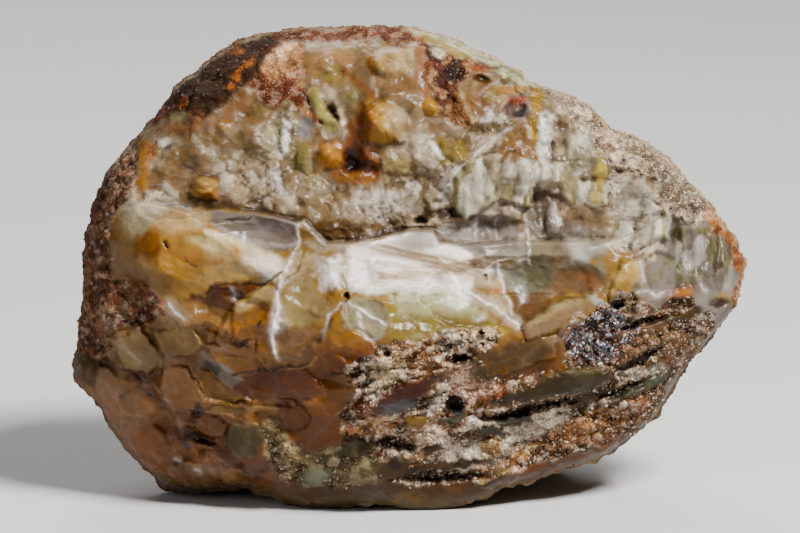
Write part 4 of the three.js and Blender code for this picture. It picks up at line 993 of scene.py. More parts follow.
# Dark seams between the facets
for line, width, colour, strength in [
    ([(-19.9, -2), (-18.4, -1), (-17.3, -0.2)], 0.18, "4A2E1C", 0.8),
    ([(-28, -3.2), (-26, -2), (-20, -1.9)], 0.2, "54301C", 0.8),
    ([(-31.4, 2), (-30.6, 0.6), (-29.6, 0.4)], 0.15, "6E3E1C", 0.7),
    ([(-14.4, 2.4), (-15.2, 0), (-16.8, -1.4)], 0.18, "6A381C", 0.7),
    ([(-38, -16.3), (-35.6, -18)], 0.25, "39423E", 0.85),
    ([(-40.4, -17.8), (-39.4, -17)], 0.3, "39423E", 0.7),
    ([(-40.4, -13.6), (-38.6, -15.2), (-36.4, -15.9), (-34, -19)], 0.2, "4A2E1A", 0.7),
    ([(-34.6, -11.8), (-31, -12.1), (-28.6, -11)], 0.2, "4E301C", 0.7),
    ([(-24.4, -14.6), (-19, -13.8), (-14, -13.2)], 0.25, "402414", 0.75),
    ([(-10.6, -14.6), (-7, -14.2), (-4, -12.6)], 0.3, "3E2412", 0.8),
    ([(-30.4, -20.4), (-27, -19), (-23, -19.6)], 0.22, "482A18", 0.7),
    ([(16, -8), (18.4, -6.2), (21.6, -4.4), (26, -3.5)], 0.22, "3E3018", 0.85),
    ([(13, -3.4), (14.6, -3.2), (20, -3.4)], 0.2, "5A4426", 0.6),
    ([(-11.4, 4.3), (-8, 4.4), (-4, 5)], 0.2, "5A4026", 0.6),
    ([(-27, -4.8), (-24.6, -6), (-24.4, -9)], 0.2, "5A341C", 0.7),
]:
    lay(stroke(line, width), colour, strength)
for place in [
    (-20.7, -7.2, 0.4, 0.95, 0), (-23, -10.3, 0.8, 0.25, 0), (-21.3, -10.8, 0.4, 0.7, 0),
    (-8.4, -3.7, 0.25, 0.5, 0),
]:
    lay(spot(*place, 0.25, True), "26241A", 0.95)
for place in [
    (-28.6, -8.9, 0.3, 0.4, 0), (-27.8, -8.5, 0.3, 0.4, 0), (-29, -9.4, 0.3, 0.2, 0),
    (-30.3, -21.3, 0.8, 0.4, -10),
]:
    lay(spot(*place, 0.4), "5A2218", 0.85)
lay(spot(-31.8, -24, 1, 0.4, -35, 0.4), "343C44", 0.9)
lay(spot(-31, -25, 0.5, 0.3, -35, 0.4), "343C44", 0.8)
lay(stroke([(-33, -23), (-29, -24.6), (-25, -27)], 1) * spread(0.9, 372, -0.1, 0.3), "7A4434", 0.8)

for place, colour, strength in [
    ((-24, 9.4, 3.6, 1.2, -5), "745A40", 0.7), ((-12, 8.6, 3.4, 1.6, 0), "80664A", 0.7),
    ((-28.4, 17, 2.2, 2.4, 20), "7E664C", 0.55), ((-33, -16.4, 4.2, 2.2, -30), "A0724A", 0.6),
    ((-31, -9, 3.4, 2, -10), "A07E50", 0.7), ((-38, -11.4, 3, 2, 0), "8A6E4C", 0.6),
    ((-38, -23, 2, 4, 20), "8E6038", 0.4), ((-9.4, -10.6, 2, 1.6, 0), "A87430", 0.5),
]:
    lay(spot(*place, 0.6, True), colour, strength)

# Upper wall: the plume curtain, columns, knobs, green and rusty places and the dark pit
lay(curtain, "A89C7C", 0.85)
lay(curtain * (tooth_name > 0.5), "C6BFB0", 0.7)
lay(curtain * (tooth_name < 0.25), "8A8054", 0.6)
lay(curtain * smooth(0.25, 0, tooth_chip), "D2CCC0", 0.45)
lay(patch([(18, 12.4), (22, 12.6), (23, 9), (20, 8.2), (18, 9)], 0.4), "7E6C5C", 0.85)
lay(patch([(21.5, 9), (27.6, 8.6), (28, 5), (24.8, 6.8), (22, 5.6)]), "8A745C", 0.85)
lay(spot(23.8, 5.6, 1.8, 1), "8C8680", 0.7)
lay(spot(20.8, 7, 0.8, 2, 5), "C8C2B8", 0.8)
lay(facet([(28.6, 12.6), (30, 14), (32.6, 13.4), (35.4, 9.6), (36.2, 3.6), (30.4, 2.6)], 0.4),
    "B8AE9C", 0.8)
lay(flutes, "645C4C", 0.5)
lay((tall + flutes) * (tooth_name > 0.7), "CCC8C0", 0.35)
lay((tall + flutes) * (tooth_name < 0.35), "7E744E", 0.5)
lay(patch([(13.4, 19.4), (15.6, 19.8), (18.6, 19.4), (18.4, 15.6), (15.6, 15.2), (13.4, 16)]),
    "8A6428", 0.85)
lay_each(stroke, [
    ([(18.4, 25.6), (18.2, 22), (17.8, 19)], 0.8, 0.4, "A8862E", 0.85),
    ([(19.6, 21.6), (19.4, 18.6), (19.4, 15.8)], 0.9, 0.4, "CFCBC2", 0.8),
    ([(27.4, 16), (27.4, 13), (27, 10)], 0.75, 0.4, "A8923C", 0.85),
])
lay(spot(24.4, 17, 2.4, 3, 15, 0.4), "A09880", 0.8)
lay(spot(24.8, 18.6, 1, 1.2, 15), "B8B4A4", 0.7)
lay(patch([(4, 18.4), (8, 18.6), (8.6, 16), (7, 14.4), (4.6, 14.6)]), "8A7430", 0.85)
lay(patch(PALE_RIM, 0.3), "BEBC98", 0.95)
lay(patch(PALE_RIM, 0.3) * spread(1.6, 274, 0.1, 0.4), "9A9456", 0.6)
lay(stroke([(1.5, 33.2), (4, 32.4), (8.6, 30)], 0.6), "A88A38", 0.8)
lay_each(spot, [
    (-8, 31.4, 3.2, 1.4, "94805E", 0.85), (-11, 29, 4.4, 2.6, "A07A52", 0.8),
    (-10.8, 27.6, 1.8, 1.2, "9C8A4C", 0.7), (-6.4, 27.6, 1.5, 3.2, 10, 0.4, "7A6450", 0.8),
    (-7.6, 23.8, 1.6, 2.2, 10, 0.4, "8C8058", 0.85),
])
lay(stroke([(-9, 28), (-5, 25.2), (-4.8, 23), (-6.5, 22)], 0.5, 0.7), "9A6038", 0.6)
lay(spot(-15, 15.6, 1.6, 2.6, 20), "8A8048", 0.7)
lay(spot(-19, 19, 1.2, 1.8), "A8A47C", 0.75)
lay(stroke([(-17, 20.8), (-17.1, 17)], 0.5), "D0CAC0", 0.8)
# The pale spots at (-1, 29.4) and (-1.4, 21.4) are painted highlights on the right sides of the two knobs
lay_each(spot, [
    (-14.5, 20.2, 1, 1.6, "8A8C92", 0.7), (-2.4, 29.6, 3, 2.5, 0, 0.35, True, "AE8C54", 0.9),
    (-5, 29.6, 0.7, 2, 0, 0.6, "A06A3C", 0.7), (-1, 29.4, 1.1, 1.4, 0, 0.8, "C0AE8C", 0.5),
    (-3.6, 20.9, 3.2, 3.1, 0, 0.3, True, "B08438", 0.92), (-5.8, 20.8, 1.2, 2.6, 10, 0.7, "B06A2C", 0.85),
    (-1.4, 21.4, 1.5, 1.8, 0, 0.8, "C0B090", 0.55),
])
lay(stroke([(-6.2, 17.9), (-3.6, 17.4), (-0.6, 18.2)], 0.3, 0.4), "5A2E14", 0.85)
lay(spot(-1.6, 14.9, 2.3, 1.9, 0, 0.6, True), "A08A5A", 0.8)
lay(spot(2.5, 17, 1.6, 3, 20), "B4A890", 0.7)
# A painted glint: a thin white highlight along the crystals
lay(stroke([(3.4, 18), (5, 15.8)], 0.3), "E4E0D8", 0.8)
lay(spot(0, 25.8, 3, 1.9), "86664C", 0.85)
lay(stroke([(2.2, 32), (1.6, 28.6), (2.6, 25)], 0.8, 0.7), "9A6244", 0.7)
lay(spot(3.2, 23, 1.25, 1.25, 0, 0.3), "B8862E", 0.9)
lay(patch(PIT_RIM, 0.4), "88583A", 0.9)
lay(patch(DARK_PIT, 0.35), "8C5238", 0.97)
lay(spot(-11, 16, 1.7, 2, 0, 0.35, True), "BC7E40", 0.95)
lay(spot(-7, 12.8, 3.2, 0.8, 0, 0.4), "9A6A3C", 0.85)
lay_each(stroke, [
    ([(-13.2, 25.2), (-12.2, 22.6), (-10.6, 20.2)], 0.7, 0.4, "A69A50", 0.9),
    ([(-11.6, 26), (-10, 24), (-9, 21)], 0.5, "C8B898", 0.75),
    ([(-11, 23.2), (-9.8, 21.4)], 0.35, 0.4, "42200F", 0.9),
    ([(-15.6, 24.6), (-14.4, 22.4), (-12.6, 21)], 0.5, 0.4, "A9662E", 0.8),
])

# Crusts of rust and sand along the top
lay_crumbs(patch(TOP_CRUST, 0.4), ("7C482E", 0.95), (0.6, "B08470", 0.7), (0.25, "6E3A24", 0.7))
lay_crumbs(patch(RUST_CHANNEL), ("7C4226", 0.95), (0.66, "B88C60", 0.7), (0.25, "54291A", 0.8))
lay_crumbs(patch(TAN_CRUST, 0.3), ("B8845C", 0.97), (0.7, "D8B090", 0.8), (0.2, "7E4A28", 0.7))
lay_crumbs(patch(RED_CRUST, 0.3), ("84503A", 0.97), (0.7, "B08A74", 0.7), (0.25, "6A3024", 0.8))
lay_each(spot, [
    (3.3, 30.3, 1, 0.5, -40, 0.4, "3A2014", 0.9), (6.6, 27.8, 1.3, 1.3, 30, 0.4, "341C12", 0.92),
    (10.4, 27, 1, 0.5, -20, 0.4, "341C12", 0.92), (4.5, 30.9, 1.1, 0.7, -20, 0.4, "D0C2A0", 0.85),
    (10, 28.3, 1.9, 0.7, -10, 0.6, True, "9E5C3C", 0.8), (11.5, 24.8, 1.4, 1.3, 0, 0.4, "8C8350", 0.9),
    (8, 22.4, 2.4, 2.2, 0, 0.6, True, "7C5636", 0.75),
])
lay(stroke([(7.4, 25.2), (8.6, 23), (9.2, 21)], 0.4), "C0A070", 0.7)
lay_each(spot, [
    (10, 25, 2.4, 2.2, 0, 0.5, True, "8D6440", 0.8), (15.5, 23, 1.9, 1.9, 0, 0.25, "94827A", 0.9),
    (15.6, 24.1, 1.5, 0.7, 0, 0.4, "A4503A", 0.85), (16, 22.1, 1.2, 0.6, 10, 0.4, "39404C", 0.85),
])
lay(patch([(13.2, 26.2), (17.6, 26), (17.6, 24.8), (16, 25.2), (13.4, 24.4), (12.4, 25.4)], 0.35), "A87836",
    0.8)

# Knobs and orange places of the upper left wall
lay(patch([(-36, 19.4), (-33.4, 19.2), (-26, 20), (-22, 22.4), (-22.6, 25.6), (-26, 22.4), (-30, 21.2),
      (-34, 21.4)], 0.6), "906444", 0.7)
lay(spot(-32, 21.9, 1.6, 0.55, 5, 0.5, True), "A39A62", 0.8)
lay(spot(-25.5, 20.6, 0.9, 0.9), "A87440", 0.7)
lay(stroke([(-30, 19), (-28.8, 17), (-27.5, 15.5)], 0.3), "B8AA92", 0.5)
lay(spot(-28.4, 11.5, 2, 1.6, 0, 0.25), "B08A4A", 0.92)
lay(spot(-27.6, 10.5, 0.9, 0.6, 0, 0.4), "B87838", 0.8)
lay(stroke([(-30.4, 10.2), (-28.6, 9.7), (-26.8, 9.9)], 0.22, 0.4), "6A4222", 0.8)
lay_each(spot, [
    (-23.5, 13, 1.7, 3.2, "B09A78", 0.8), (-36.2, 17, 0.9, 1.3, 0, 0.4, "B06A30", 0.85),
    (-34.3, 18.1, 0.8, 0.6, 0, 0.4, "D4CCBC", 0.8), (-33.8, 17.2, 0.4, 0.4, 0, 0.4, "4A4640", 0.9),
])
lay(stroke([(-37.6, 18), (-37.2, 14), (-37.6, 10.6)], 0.8), "A8783C", 0.85)
lay(spot(-36, 9.4, 2, 1.2, -15, 0.5, True), "C8BBA0", 0.8)

# Rinds
lay_crumbs(left_rind, ("8E6650", 0.97), (0.8, "A0745C", 0.8), (0.3, "643C30", 0.7))
lay(left_rind * (crumb_name > 0.93), "A08A74", 0.8)
lay(left_rind * (bead_name < 0.2), "482C22", 0.5)
lay(left_rind * (bead_name > 0.82), "B8A28C", 0.6)
lay(left_rind * spread(3.4, 335, 0.15, 0.5), "8A7C68", 0.45)
lay(stroke([(-43.5, 14), (-42, 15.8), (-40.5, 17)], 0.7), "8E8472", 0.8)
lay(spot(-45.6, -2, 0.5, 5.4, 2, 0.6), "8A6A48", 0.6)
lay(top_left_rind, "6A4030", 0.97)
lay(patch(DARK_PATCH, 0.35), "4C3424", 0.97)
lay(patch(DARK_PATCH, 0.35) * spread(2.4, 321, 0.1, 0.5, stretch=2.5, turn=40), "5E4634", 0.7)
lay(patch(DARK_PATCH, 0.35) * (mid_name > 0.75), "6E5A48", 0.5)
for bu, bv in [(-23.5, 28.5), (-24.4, 27.6), (-25.2, 26), (-24, 31.5), (-22.8, 29.4), (-32, 23.5)]:
    lay(spot(bu, bv, 0.7, 0.6, 0, 0.4, True), "A8663A", 0.85)
lay(stroke([(-33.6, 26), (-31.1, 28.1), (-27.6, 30.7), (-24, 33), (-19.7, 34.1)], 0.6), "9A9078", 0.6)
lay_crumbs(sand_rind, ("AC957C", 0.97), (0.7, "D8C0A4", 0.7), (0.2, "86705A", 0.8))
lay(sand_rind * (bead_name < 0.16), "5A4636", 0.75)
lay(sand_rind * spread(3, 331, 0.15, 0.5) * smooth(28, 38, U), "6E644E", 0.75)
lay(sand_rind * smooth(32, 38, U), "86766A", 0.5)
lay(sand_rind * smooth(29, 35, U) * (mid_name < 0.5), "584E40", 0.55)
lay(sand_rind * smooth(25, 22, U), "8E8270", 0.6)
# Both rinds are paler on raised grit, a painted highlight, and darker in its hollows, painted shade
lay(sand_rind * smooth(0.1, 0.4, relief), "DCCAB4", 0.5)
lay(sand_rind * smooth(-0.05, -0.4, relief), "4E3E30", 0.7)
lay(left_rind * smooth(0.05, 0.4, relief), "9C6A54", 0.5)
lay(left_rind * smooth(-0.05, -0.4, relief), "3C241A", 0.5)
lay_crumbs(red_tip, ("A8704C", 0.95), (0.6, "C69C7A", 0.7), (0.25, "7A402A", 0.7))
lay_each(spot, [
    (38.6, -3.6, 2.4, 1.4, 10, 0.6, True, "8A5428", 0.7), (39, -3.3, 1.3, 0.7, 10, "C0782A", 0.7),
    (44.9, -3.9, 1.2, 0.8, 0, 0.4, "A8882C", 0.85),
])

# Rubble: crumbs of cream, tan and orange over brown, between dark lenses that follow the bedding
lay(rubble, "5A4836", 0.97)
warm_band = joined(stroke(line, width) for line, width in [
    ([(4, -12.8), (8, -15), (11.5, -16.6), (13.4, -17)], 1.3),
    ([(21, -24), (25, -22), (29, -21.4), (33, -19)], 1.5), ([(9, -28.6), (13, -27.4), (17, -26.2)], 0.9),
    ([(21.4, -8.2), (25.4, -9.6)], 1.3),
])
for low, high, colour in [
    (0, 0.26, "E6DCCA"), (0.26, 0.42, "D4A48E"), (0.42, 0.56, "D0AA7C"), (0.56, 0.7, "A09278"),
    (0.7, 0.84, "BC8458"), (0.84, 1, "80664A"),
]:
    lay(crumbs * (bed_name >= low) * (bed_name < high), colour, 0.5)
    lay(crumbs * (crumb_name >= low) * (crumb_name < high), colour, 0.5)
lay((crumbly - crumbs) * rubble, "6A4E36", 0.7)
lay(rubble * (1 - lenses) * warm_band * (crumb_name < 0.65), "B4704A", 0.7)
lay(crumbs * warm_band, "B87448", 0.6)
pale_band = joined(stroke(line, width) for line, width in [
    ([(3, -23), (6, -26), (9, -27)], 1.2), ([(14, -23.6), (19, -22), (22, -20.4)], 1.4),
    ([(1, -14.8), (-1, -14.4)], 0.7), ([(-4, -13.2), (-4.2, -17)], 0.7),
    ([(8, -14.6), (6, -16), (3.6, -19.6)], 0.8), ([(32, -15.4), (36.5, -14)], 0.9),
])
lay(crumbs * spread(3, 345, 0.1, 0.4, stretch=2, turn=17), "C4703C", 0.55)
lay(crumbs * spread(2.6, 347, 0.1, 0.4, stretch=1.5, turn=17), "CFA04A", 0.5)
lay(crumbs * spread(2.2, 349, 0.15, 0.45), "BE8270", 0.45)
lay(rubble * (1 - lenses) * pale_band, "DCD4C4", 0.6)
# Painted highlight: cream on the raised crumbs
lay(crumbly * smooth(0.05, 0.4, relief), "ECE0CC", 0.45)
lay(rubble * smooth(18, 26, U), "4A3626", 0.5)
# Painted shade: darkest in the hollows between the crumbs
lay(crumbly * smooth(-0.15, -0.5, relief), "321E12", 0.75)
for place, colour in [
    ((22.4, -9.4, 2.4, 1.3, 20), "B88C74"), ((8, -15.4, 3.4, 2.2, -20), "E0B8A0"),
    ((2.6, -13.8, 2.4, 1.4, 0), "CC9468"), ((8, -26, 4.4, 1.8, 0), "ECE2D0"),
    ((15.6, -22.4, 3.4, 1.4, 15), "C8B8A4"), ((12, -29, 3, 1.2, 10), "C89C68"),
    ((3, -22.4, 2.6, 1.8, 0), "C0A284"), ((-2.6, -14.6, 2.2, 1.8, 0), "D8C49A"),
    ((13, -18, 2.4, 1.4, 0), "C87850"), ((33, -7, 4, 1.2, 15), "C09478"),
    ((26, -22.6, 4, 1.6, 12), "AC7850"),
]:
    lay(spot(*place, 0.6, True) * crumbly * (0.5 + 0.5 * spread(0.7, 351, -0.3, 0.1)), colour, 0.85)
lay(spot(20.3, -21.2, 1.4, 1.3, 30, 0.3), "D8CDB2", 0.9)
# Painted shade along the edges between the chips and crumbs
lay(rubble * crumbly * bed_edge, "2A1C12", 0.35)
lay(rubble * crumbly * crumb_edge * 0.7, "3A281A", 0.25)
lay(lenses * rubbly, "5A4632", 0.92)
lay(lenses * rubbly * (mid_name > 0.6), "5E4A34", 0.6)
lay(lenses * rubbly * (small_name > 0.8), "7A684C", 0.5)
lay(lenses * rubbly * (small_name < 0.2), "2C241C", 0.6)
for place, colour in [
    ((15.4, -12.2, 5.8, 2, 22), "5E4A28"), ((14.6, -21, 3, 0.9, -4), "5A5650"),
    ((12, -22.8, 2.2, 0.6, -8), "5A5650"), ((-1.3, -19, 2.6, 1, 12), "7A7880"),
    ((1, -21, 1.6, 0.8, 0), "A6803A"), ((6.6, -19.2, 1.2, 1.1, 0), "4A4A4A"),
    ((6.8, -20.9, 1.8, 0.5, 12), "6A705A"), ((32.8, -16.4, 4.6, 0.8, 22), "5E6450"),
    ((12, -25.2, 1.8, 1.3, 20), "A07A34"), ((-7.5, -25.2, 1.7, 1.2, 0), "3A2E26"),
    ((0.4, -16.8, 5.4, 1.2, 22), "66382A"),
]:
    lay(spot(*place, 0.3, True), colour, 0.85)
lay(facet(LONG_SLAB, 0.3), "4E4228", 0.9)
lay(stroke([(20.5, -14.6), (24, -14.4), (28, -14)], 0.3), "6A6450", 0.7)
lay(facet([(16.2, -8), (20.4, -5.2), (22.8, -4.2), (26.6, -3.4), (27.8, -5), (22.6, -6.6), (21, -8.4),
      (17.2, -9.4)], 0.25), "947A60", 0.95)
lay(stroke([(17.4, -7.6), (21, -5.2), (26.2, -3.9)], 0.5, 0.6), "AC9868", 0.6)
lay(spot(22.6, -9.2, 2.2, 1.1, 20, 0.6, True), "B4907C", 0.7)
lay(facet([(25.2, -3.5), (27.2, -3.9), (27.8, -5.2), (26.2, -4.8)], 0.2), "A9ACA4", 0.85)
lay(patch([(-7.6, -17.8), (-5, -18.4), (-3.6, -20.6), (-6.6, -20.8)], 0.4), "7E3A1A", 0.8)
lay_crumbs(low_crust, ("74664A", 0.9), (0.65, "A09470", 0.7), (0.25, "463A28", 0.7))
lay(spot(-12.6, -29.2, 2.2, 1.1, 10, 0.4), "8E9078", 0.85)
lay(stroke([(-19.8, -21.6), (-17.4, -24), (-15.2, -27)], 0.6, 0.4), "AE9468", 0.85)
lay(dark_crystals, "3C3A40", 0.9)
lay(dark_crystals * (fine_name > 0.7), "A09CA8", 0.8)
lay(dark_crystals * (crumb_name > 0.75), "A0583C", 0.8)
lay(dark_crystals * (fine_name < 0.3), "181A22", 0.9)
lay(patch([(30, -8), (36, -7.6), (40, -9.6), (37, -13), (31, -13)], 0.6), "8E6E50", 0.7)
lay(spot(-22, -28.6, 2.4, 1.4, 10, 0.5, True), "6A4A34", 0.8)
# Painted shade in the deeper pits
for pu, pv, radius_u, radius_v, turn, depth in PITS:
    if depth > 0.7 and not 9 < pu < 20:
        lay(spot(pu, pv, radius_u * 0.7, radius_v * 0.7, turn, 0.4), "3A2012", 0.8)

# The smooth tan rim strip that runs round the lower right
RIM_STRIP = [
    (46.9, -5), (43.4, -9.6), (39.8, -13.4), (37.4, -17.2), (35.2, -20.8), (32, -23.6), (28.6, -26.2),
    (24.6, -27.6), (20.6, -28.6), (17, -30), (13.4, -30.8), (10.4, -32.4), (6.8, -33.2), (0, -33.4),
    (-8, -32.8), (-15, -33.2), (-22.6, -30.6), (-32, -31.4), (-36, -29.6),
]
# Darker along the bottom, where the face turns under: painted shade
lay(glassy * smooth(-28.5, -30.5, V) * smooth(-22, -16, U), "5E4A34", 0.85)
lay(stroke(RIM_STRIP, 0.7, 0.4), "74624A", 0.8)
lay(spot(0.6, -32.4, 2.4, 0.7, 0, 0.7, True), "86643E", 0.7)
lay(spot(8.2, -31, 2.4, 0.7, 10, 0.7, True), "7A5230", 0.7)

# The stone's surface

# Waves of the weathered rind: wave length, rise, two turns and a start
LUMPS = [
    (41, 1, 0.5, 0.9, 0.4), (23, 0.75, 1.9, 0.4, 2.1), (13.5, 0.42, 3.1, 1.3, 4.4),
    (8.2, 0.24, 0.8, 2.2, 1.2),
]

# Old breaks across the back and sides: the direction each faces, then its distance from the heart
BREAKS = [
    (0.62, 0.3, -0.72, 35), (-0.55, 0.45, -0.7, 35), (-0.2, -0.35, -0.92, 31), (0.35, 0.62, -0.7, 31),
    (-0.82, -0.1, -0.56, 41), (0.75, -0.3, -0.59, 36), (-0.1, 0.72, -0.69, 31.5), (-0.45, -0.55, -0.7, 34),
]
BREAK_ROUNDING = 2.2


def edge_radii(angle):
    """Distance from the middle of the face to its edge, in each direction"""
    fine_angle = np.linspace(-math.pi, math.pi, 3601)
    radius = np.zeros(fine_angle.shape)
    for (u0, v0), (u1, v1) in zip(EDGE, EDGE[1:] + EDGE[:1]):
        a = np.cos(fine_angle)
        b = np.sin(fine_angle)
        side0 = a * v0 - b * u0
        side1 = a * v1 - b * u1
        ahead = a * (u0 + u1) + b * (v0 + v1) > 0
        share = side0 / np.where(side0 == side1, 1, side0 - side1)
        here = a * (u0 + share * (u1 - u0)) + b * (v0 + share * (v1 - v0))
        radius = np.where((side0 * side1 <= 0) & ahead, here, radius)
    return np.interp(angle, fine_angle, radius)


edge_depth = blend_heights(EDGE_DEPTHS, 12, U, V)


def rind_lumps(u, v, w):
    total = 0
    for wave, rise, turn_a, turn_b, start in LUMPS:
        x = u * math.cos(turn_a) + v * math.sin(turn_a)
        s = v * math.cos(turn_a) - u * math.sin(turn_a)
        y = s * math.cos(turn_b) + w * math.sin(turn_b)
        z = w * math.cos(turn_b) - s * math.sin(turn_b)
        a, b, c = [along / wave * 2 * math.pi + start for along in (x, y, z)]
        total = total + rise * (np.sin(a) * np.cos(b) + np.sin(b) * np.cos(c) + np.sin(c) * np.cos(a))
    return total


def rim_rounding(u, v):
    """From 0 at the edge of the broken face to 1 well inside it"""
    radius = edge_radii(np.arctan2(v, u))
    inward = unit((radius - np.hypot(u, v)) / RIM_ROUNDING)
    return np.sqrt(1 - (1 - inward) ** 2)


def is_stone(u, v, w):
    """True where the point is inside the stone"""
    radius = edge_radii(np.arctan2(v, u))
    away = np.hypot(u, v)
    edge = read_sheet(edge_depth, u, v)
    behind = smooth(0, 12, edge - w)
    lumps = rind_lumps(u, v, w)
    out = away / (radius - behind * (1 - np.minimum(1, 0.6 * lumps)))
    inward = unit((1 - out) * radius / RIM_ROUNDING)
    front = edge + (read_sheet(even_height, u, v) - edge) * np.sqrt(1 - (1 - inward) ** 2)
    low = smooth(0.25, 0.85, -v / np.maximum(away, 1e-6))
    bulge = BACK_DEPTH * np.sqrt(unit(1 - unit(out) ** (2.3 + 5 * low)))
    crossed = 0
    for a, b, c, distance in BREAKS:
        along = a * (u - HEART[0]) + b * (v - HEART[1]) + c * (w - HEART[2])
        along = along / math.sqrt(a * a + b * b + c * c)
        crossed = crossed + np.exp((along - distance - 0.8 * lumps) / BREAK_ROUNDING)
    up = v * math.cos(FACE_LEAN) + w * math.sin(FACE_LEAN) + REST_HEIGHT
    within = (away < radius) & (out < 1) & (w < front) & (w > edge - bulge - lumps * behind)
    return within & (crossed < 1) & (up > 0)


def stand_up(places):
    """From the face's frame in millimetres to the stone's own in metres"""
    u, v, w = places.T
    lean_cos = math.cos(FACE_LEAN)
    lean_sin = math.sin(FACE_LEAN)
    x = u - REST_MIDDLE[0]
    y = v * lean_sin - w * lean_cos + REST_MIDDLE[1] * lean_cos + REST_HEIGHT * lean_sin
    z = v * lean_cos + w * lean_sin + REST_HEIGHT
    return np.stack((x, y, z), 1) * MM


def lie_back(places):
    """From the stone's own frame in metres to the face's in millimetres"""
    x, y, z = (places / MM).T
    lean_cos = math.cos(FACE_LEAN)
    lean_sin = math.sin(FACE_LEAN)
    y = y - REST_MIDDLE[1] * lean_cos - REST_HEIGHT * lean_sin
    z = z - REST_HEIGHT
    return np.stack((x + REST_MIDDLE[0], y * lean_sin + z * lean_cos, z * lean_sin - y * lean_cos), 1)


def get_points(mesh):
    flat = np.empty(len(mesh.vertices) * 3, np.float32)
    mesh.vertices.foreach_get("co", flat)
    return flat.reshape(-1, 3).astype(float)


def set_points(mesh, places):
    mesh.vertices.foreach_set("co", places.astype(np.float32).ravel())
    mesh.update()


def add_attribute(mesh, name, values):
    values = np.asarray(values, np.float32)
    if values.ndim == 1:
        layer = mesh.attributes.new(name, "FLOAT", "POINT")
        layer.data.foreach_set("value", values)
    else:
        layer = mesh.attributes.new(name, "FLOAT_COLOR", "POINT")
        full = np.ones((len(values), 4), np.float32)
        full[:, :3] = values
        layer.data.foreach_set("color", full.ravel())


def deselect():
    bpy.ops.object.select_all(action="DESELECT")


def stone_surface(ways, near, far, steps):
    """Distance from the heart to the stone's surface along each way"""
    for _ in range(steps):
        middle = (near + far) / 2
        within = is_stone(*(ways * middle[:, None] + HEART).T)
        near = np.where(within, middle, near)
        far = np.where(within, far, middle)
    return near


def away_from_heart(places):
    distance = np.linalg.norm(places - HEART, axis=1)
    return (places - HEART) / distance[:, None], distance


deselect()
bpy.ops.mesh.primitive_ico_sphere_add(subdivisions=STONE_SUBDIVISIONS, radius=1)
stone = bpy.context.object
stone.name = "agate_stone"
directions = get_points(stone.data)
directions /= np.linalg.norm(directions, axis=1)[:, None]
from_front = np.arccos(np.clip(directions[:, 2], -1, 1))
crowded = from_front - CROWDING * np.sin(from_front)
ring = np.maximum(np.hypot(directions[:, 0], directions[:, 1]), 1e-9)
ways = np.stack((HALF_SIZES[0] * directions[:, 0] / ring * np.sin(crowded),
                 HALF_SIZES[1] * directions[:, 1] / ring * np.sin(crowded),
                 HALF_SIZES[2] * np.cos(crowded)), 1)
ways /= np.linalg.norm(ways, axis=1)[:, None]
reached = stone_surface(ways, np.zeros(len(ways)), np.full(len(ways), REACH), SEARCH_STEPS)
set_points(stone.data, ways * reached[:, None] + HEART)
finer = stone.modifiers.new("finer", "SUBSURF")
finer.subdivision_type = "SIMPLE"
finer.levels = 1
bpy.ops.object.modifier_apply(modifier="finer")
ways, distance = away_from_heart(get_points(stone.data))
reached = stone_surface(ways, distance - FINE_REACH, distance + FINE_REACH, FINE_STEPS)
places = ways * reached[:, None] + HEART

# The fine relief of the broken face, set straight out of it and fading away at its edge
edge_here = read_sheet(edge_depth, places[:, 0], places[:, 1])
fine_share = rim_rounding(places[:, 0], places[:, 1]) * smooth(-1.5, 0.5, places[:, 2] - edge_here)
places[:, 2] += read_sheet(height - even_height, places[:, 0], places[:, 1]) * fine_share
set_points(stone.data, stand_up(places))

# Grit raised on the rind, along the surface's own direction
rind_waves = bpy.data.textures.new("rind_lumps", "CLOUDS")
rind_waves.noise_scale = 0.0022
rind_waves.noise_depth = 2
grit = bpy.data.textures.new("rind_grit", "VORONOI")
grit.noise_scale = 0.0009
RIND_WAVE_HEIGHT = 0.0014
GRIT_HEIGHT = 0.0005
SHARE_LEVELS = 10
REST_MARGIN = 0.0004


def face_front(places):
    """How far each place belongs to the broken face rather than the rind, from 0 to 1"""
    u, v, w = places.T
    inset = edge_radii(np.arctan2(v, u)) - np.hypot(u, v)
    behind = read_sheet(edge_depth, u, v) - w
    return smooth(5.5, 2.0, behind) * smooth(-0.2, 0.6, inset)


front = face_front(places)
share = 1 - front * (1 - read_sheet(gritty, places[:, 0], places[:, 1]))
share[stand_up(places)[:, 2] < REST_MARGIN] = 0
group = stone.vertex_groups.new(name="rind")
for level in range(1, SHARE_LEVELS + 1):
    chosen = np.nonzero((share > (level - 1) / SHARE_LEVELS) & (share <= level / SHARE_LEVELS))[0]
    group.add(chosen.tolist(), level / SHARE_LEVELS, "REPLACE")
for texture, strength in ((rind_waves, RIND_WAVE_HEIGHT), (grit, GRIT_HEIGHT)):
    modifier = stone.modifiers.new(texture.name, "DISPLACE")
    modifier.texture = texture
    modifier.texture_coords = "LOCAL"
    modifier.vertex_group = "rind"
    modifier.strength = strength
    modifier.mid_level = 0.5
    bpy.ops.object.modifier_apply(modifier=modifier.name)
stone.vertex_groups.clear()
bpy.ops.object.shade_smooth()
points = get_points(stone.data)
points[:, 2] = np.maximum(points[:, 2], 0)
set_points(stone.data, points)

# Rind colours for the sides and back, which follow the solid rather than the face


def gyre(p, wave, start):
    a, b, c = [p[:, k] / wave * 2 * math.pi + start + 0.7 * k for k in range(3)]
    return np.sin(a) * np.cos(b) + np.sin(b) * np.cos(c) + np.sin(c) * np.cos(a)


def sandy_side(u, v):
    """How sandy the rind is, from 0 to 1, more so at the upper right"""
    return smooth(6, 16, 0.6 * u + 0.8 * v - 12) * smooth(-8, 8, u)


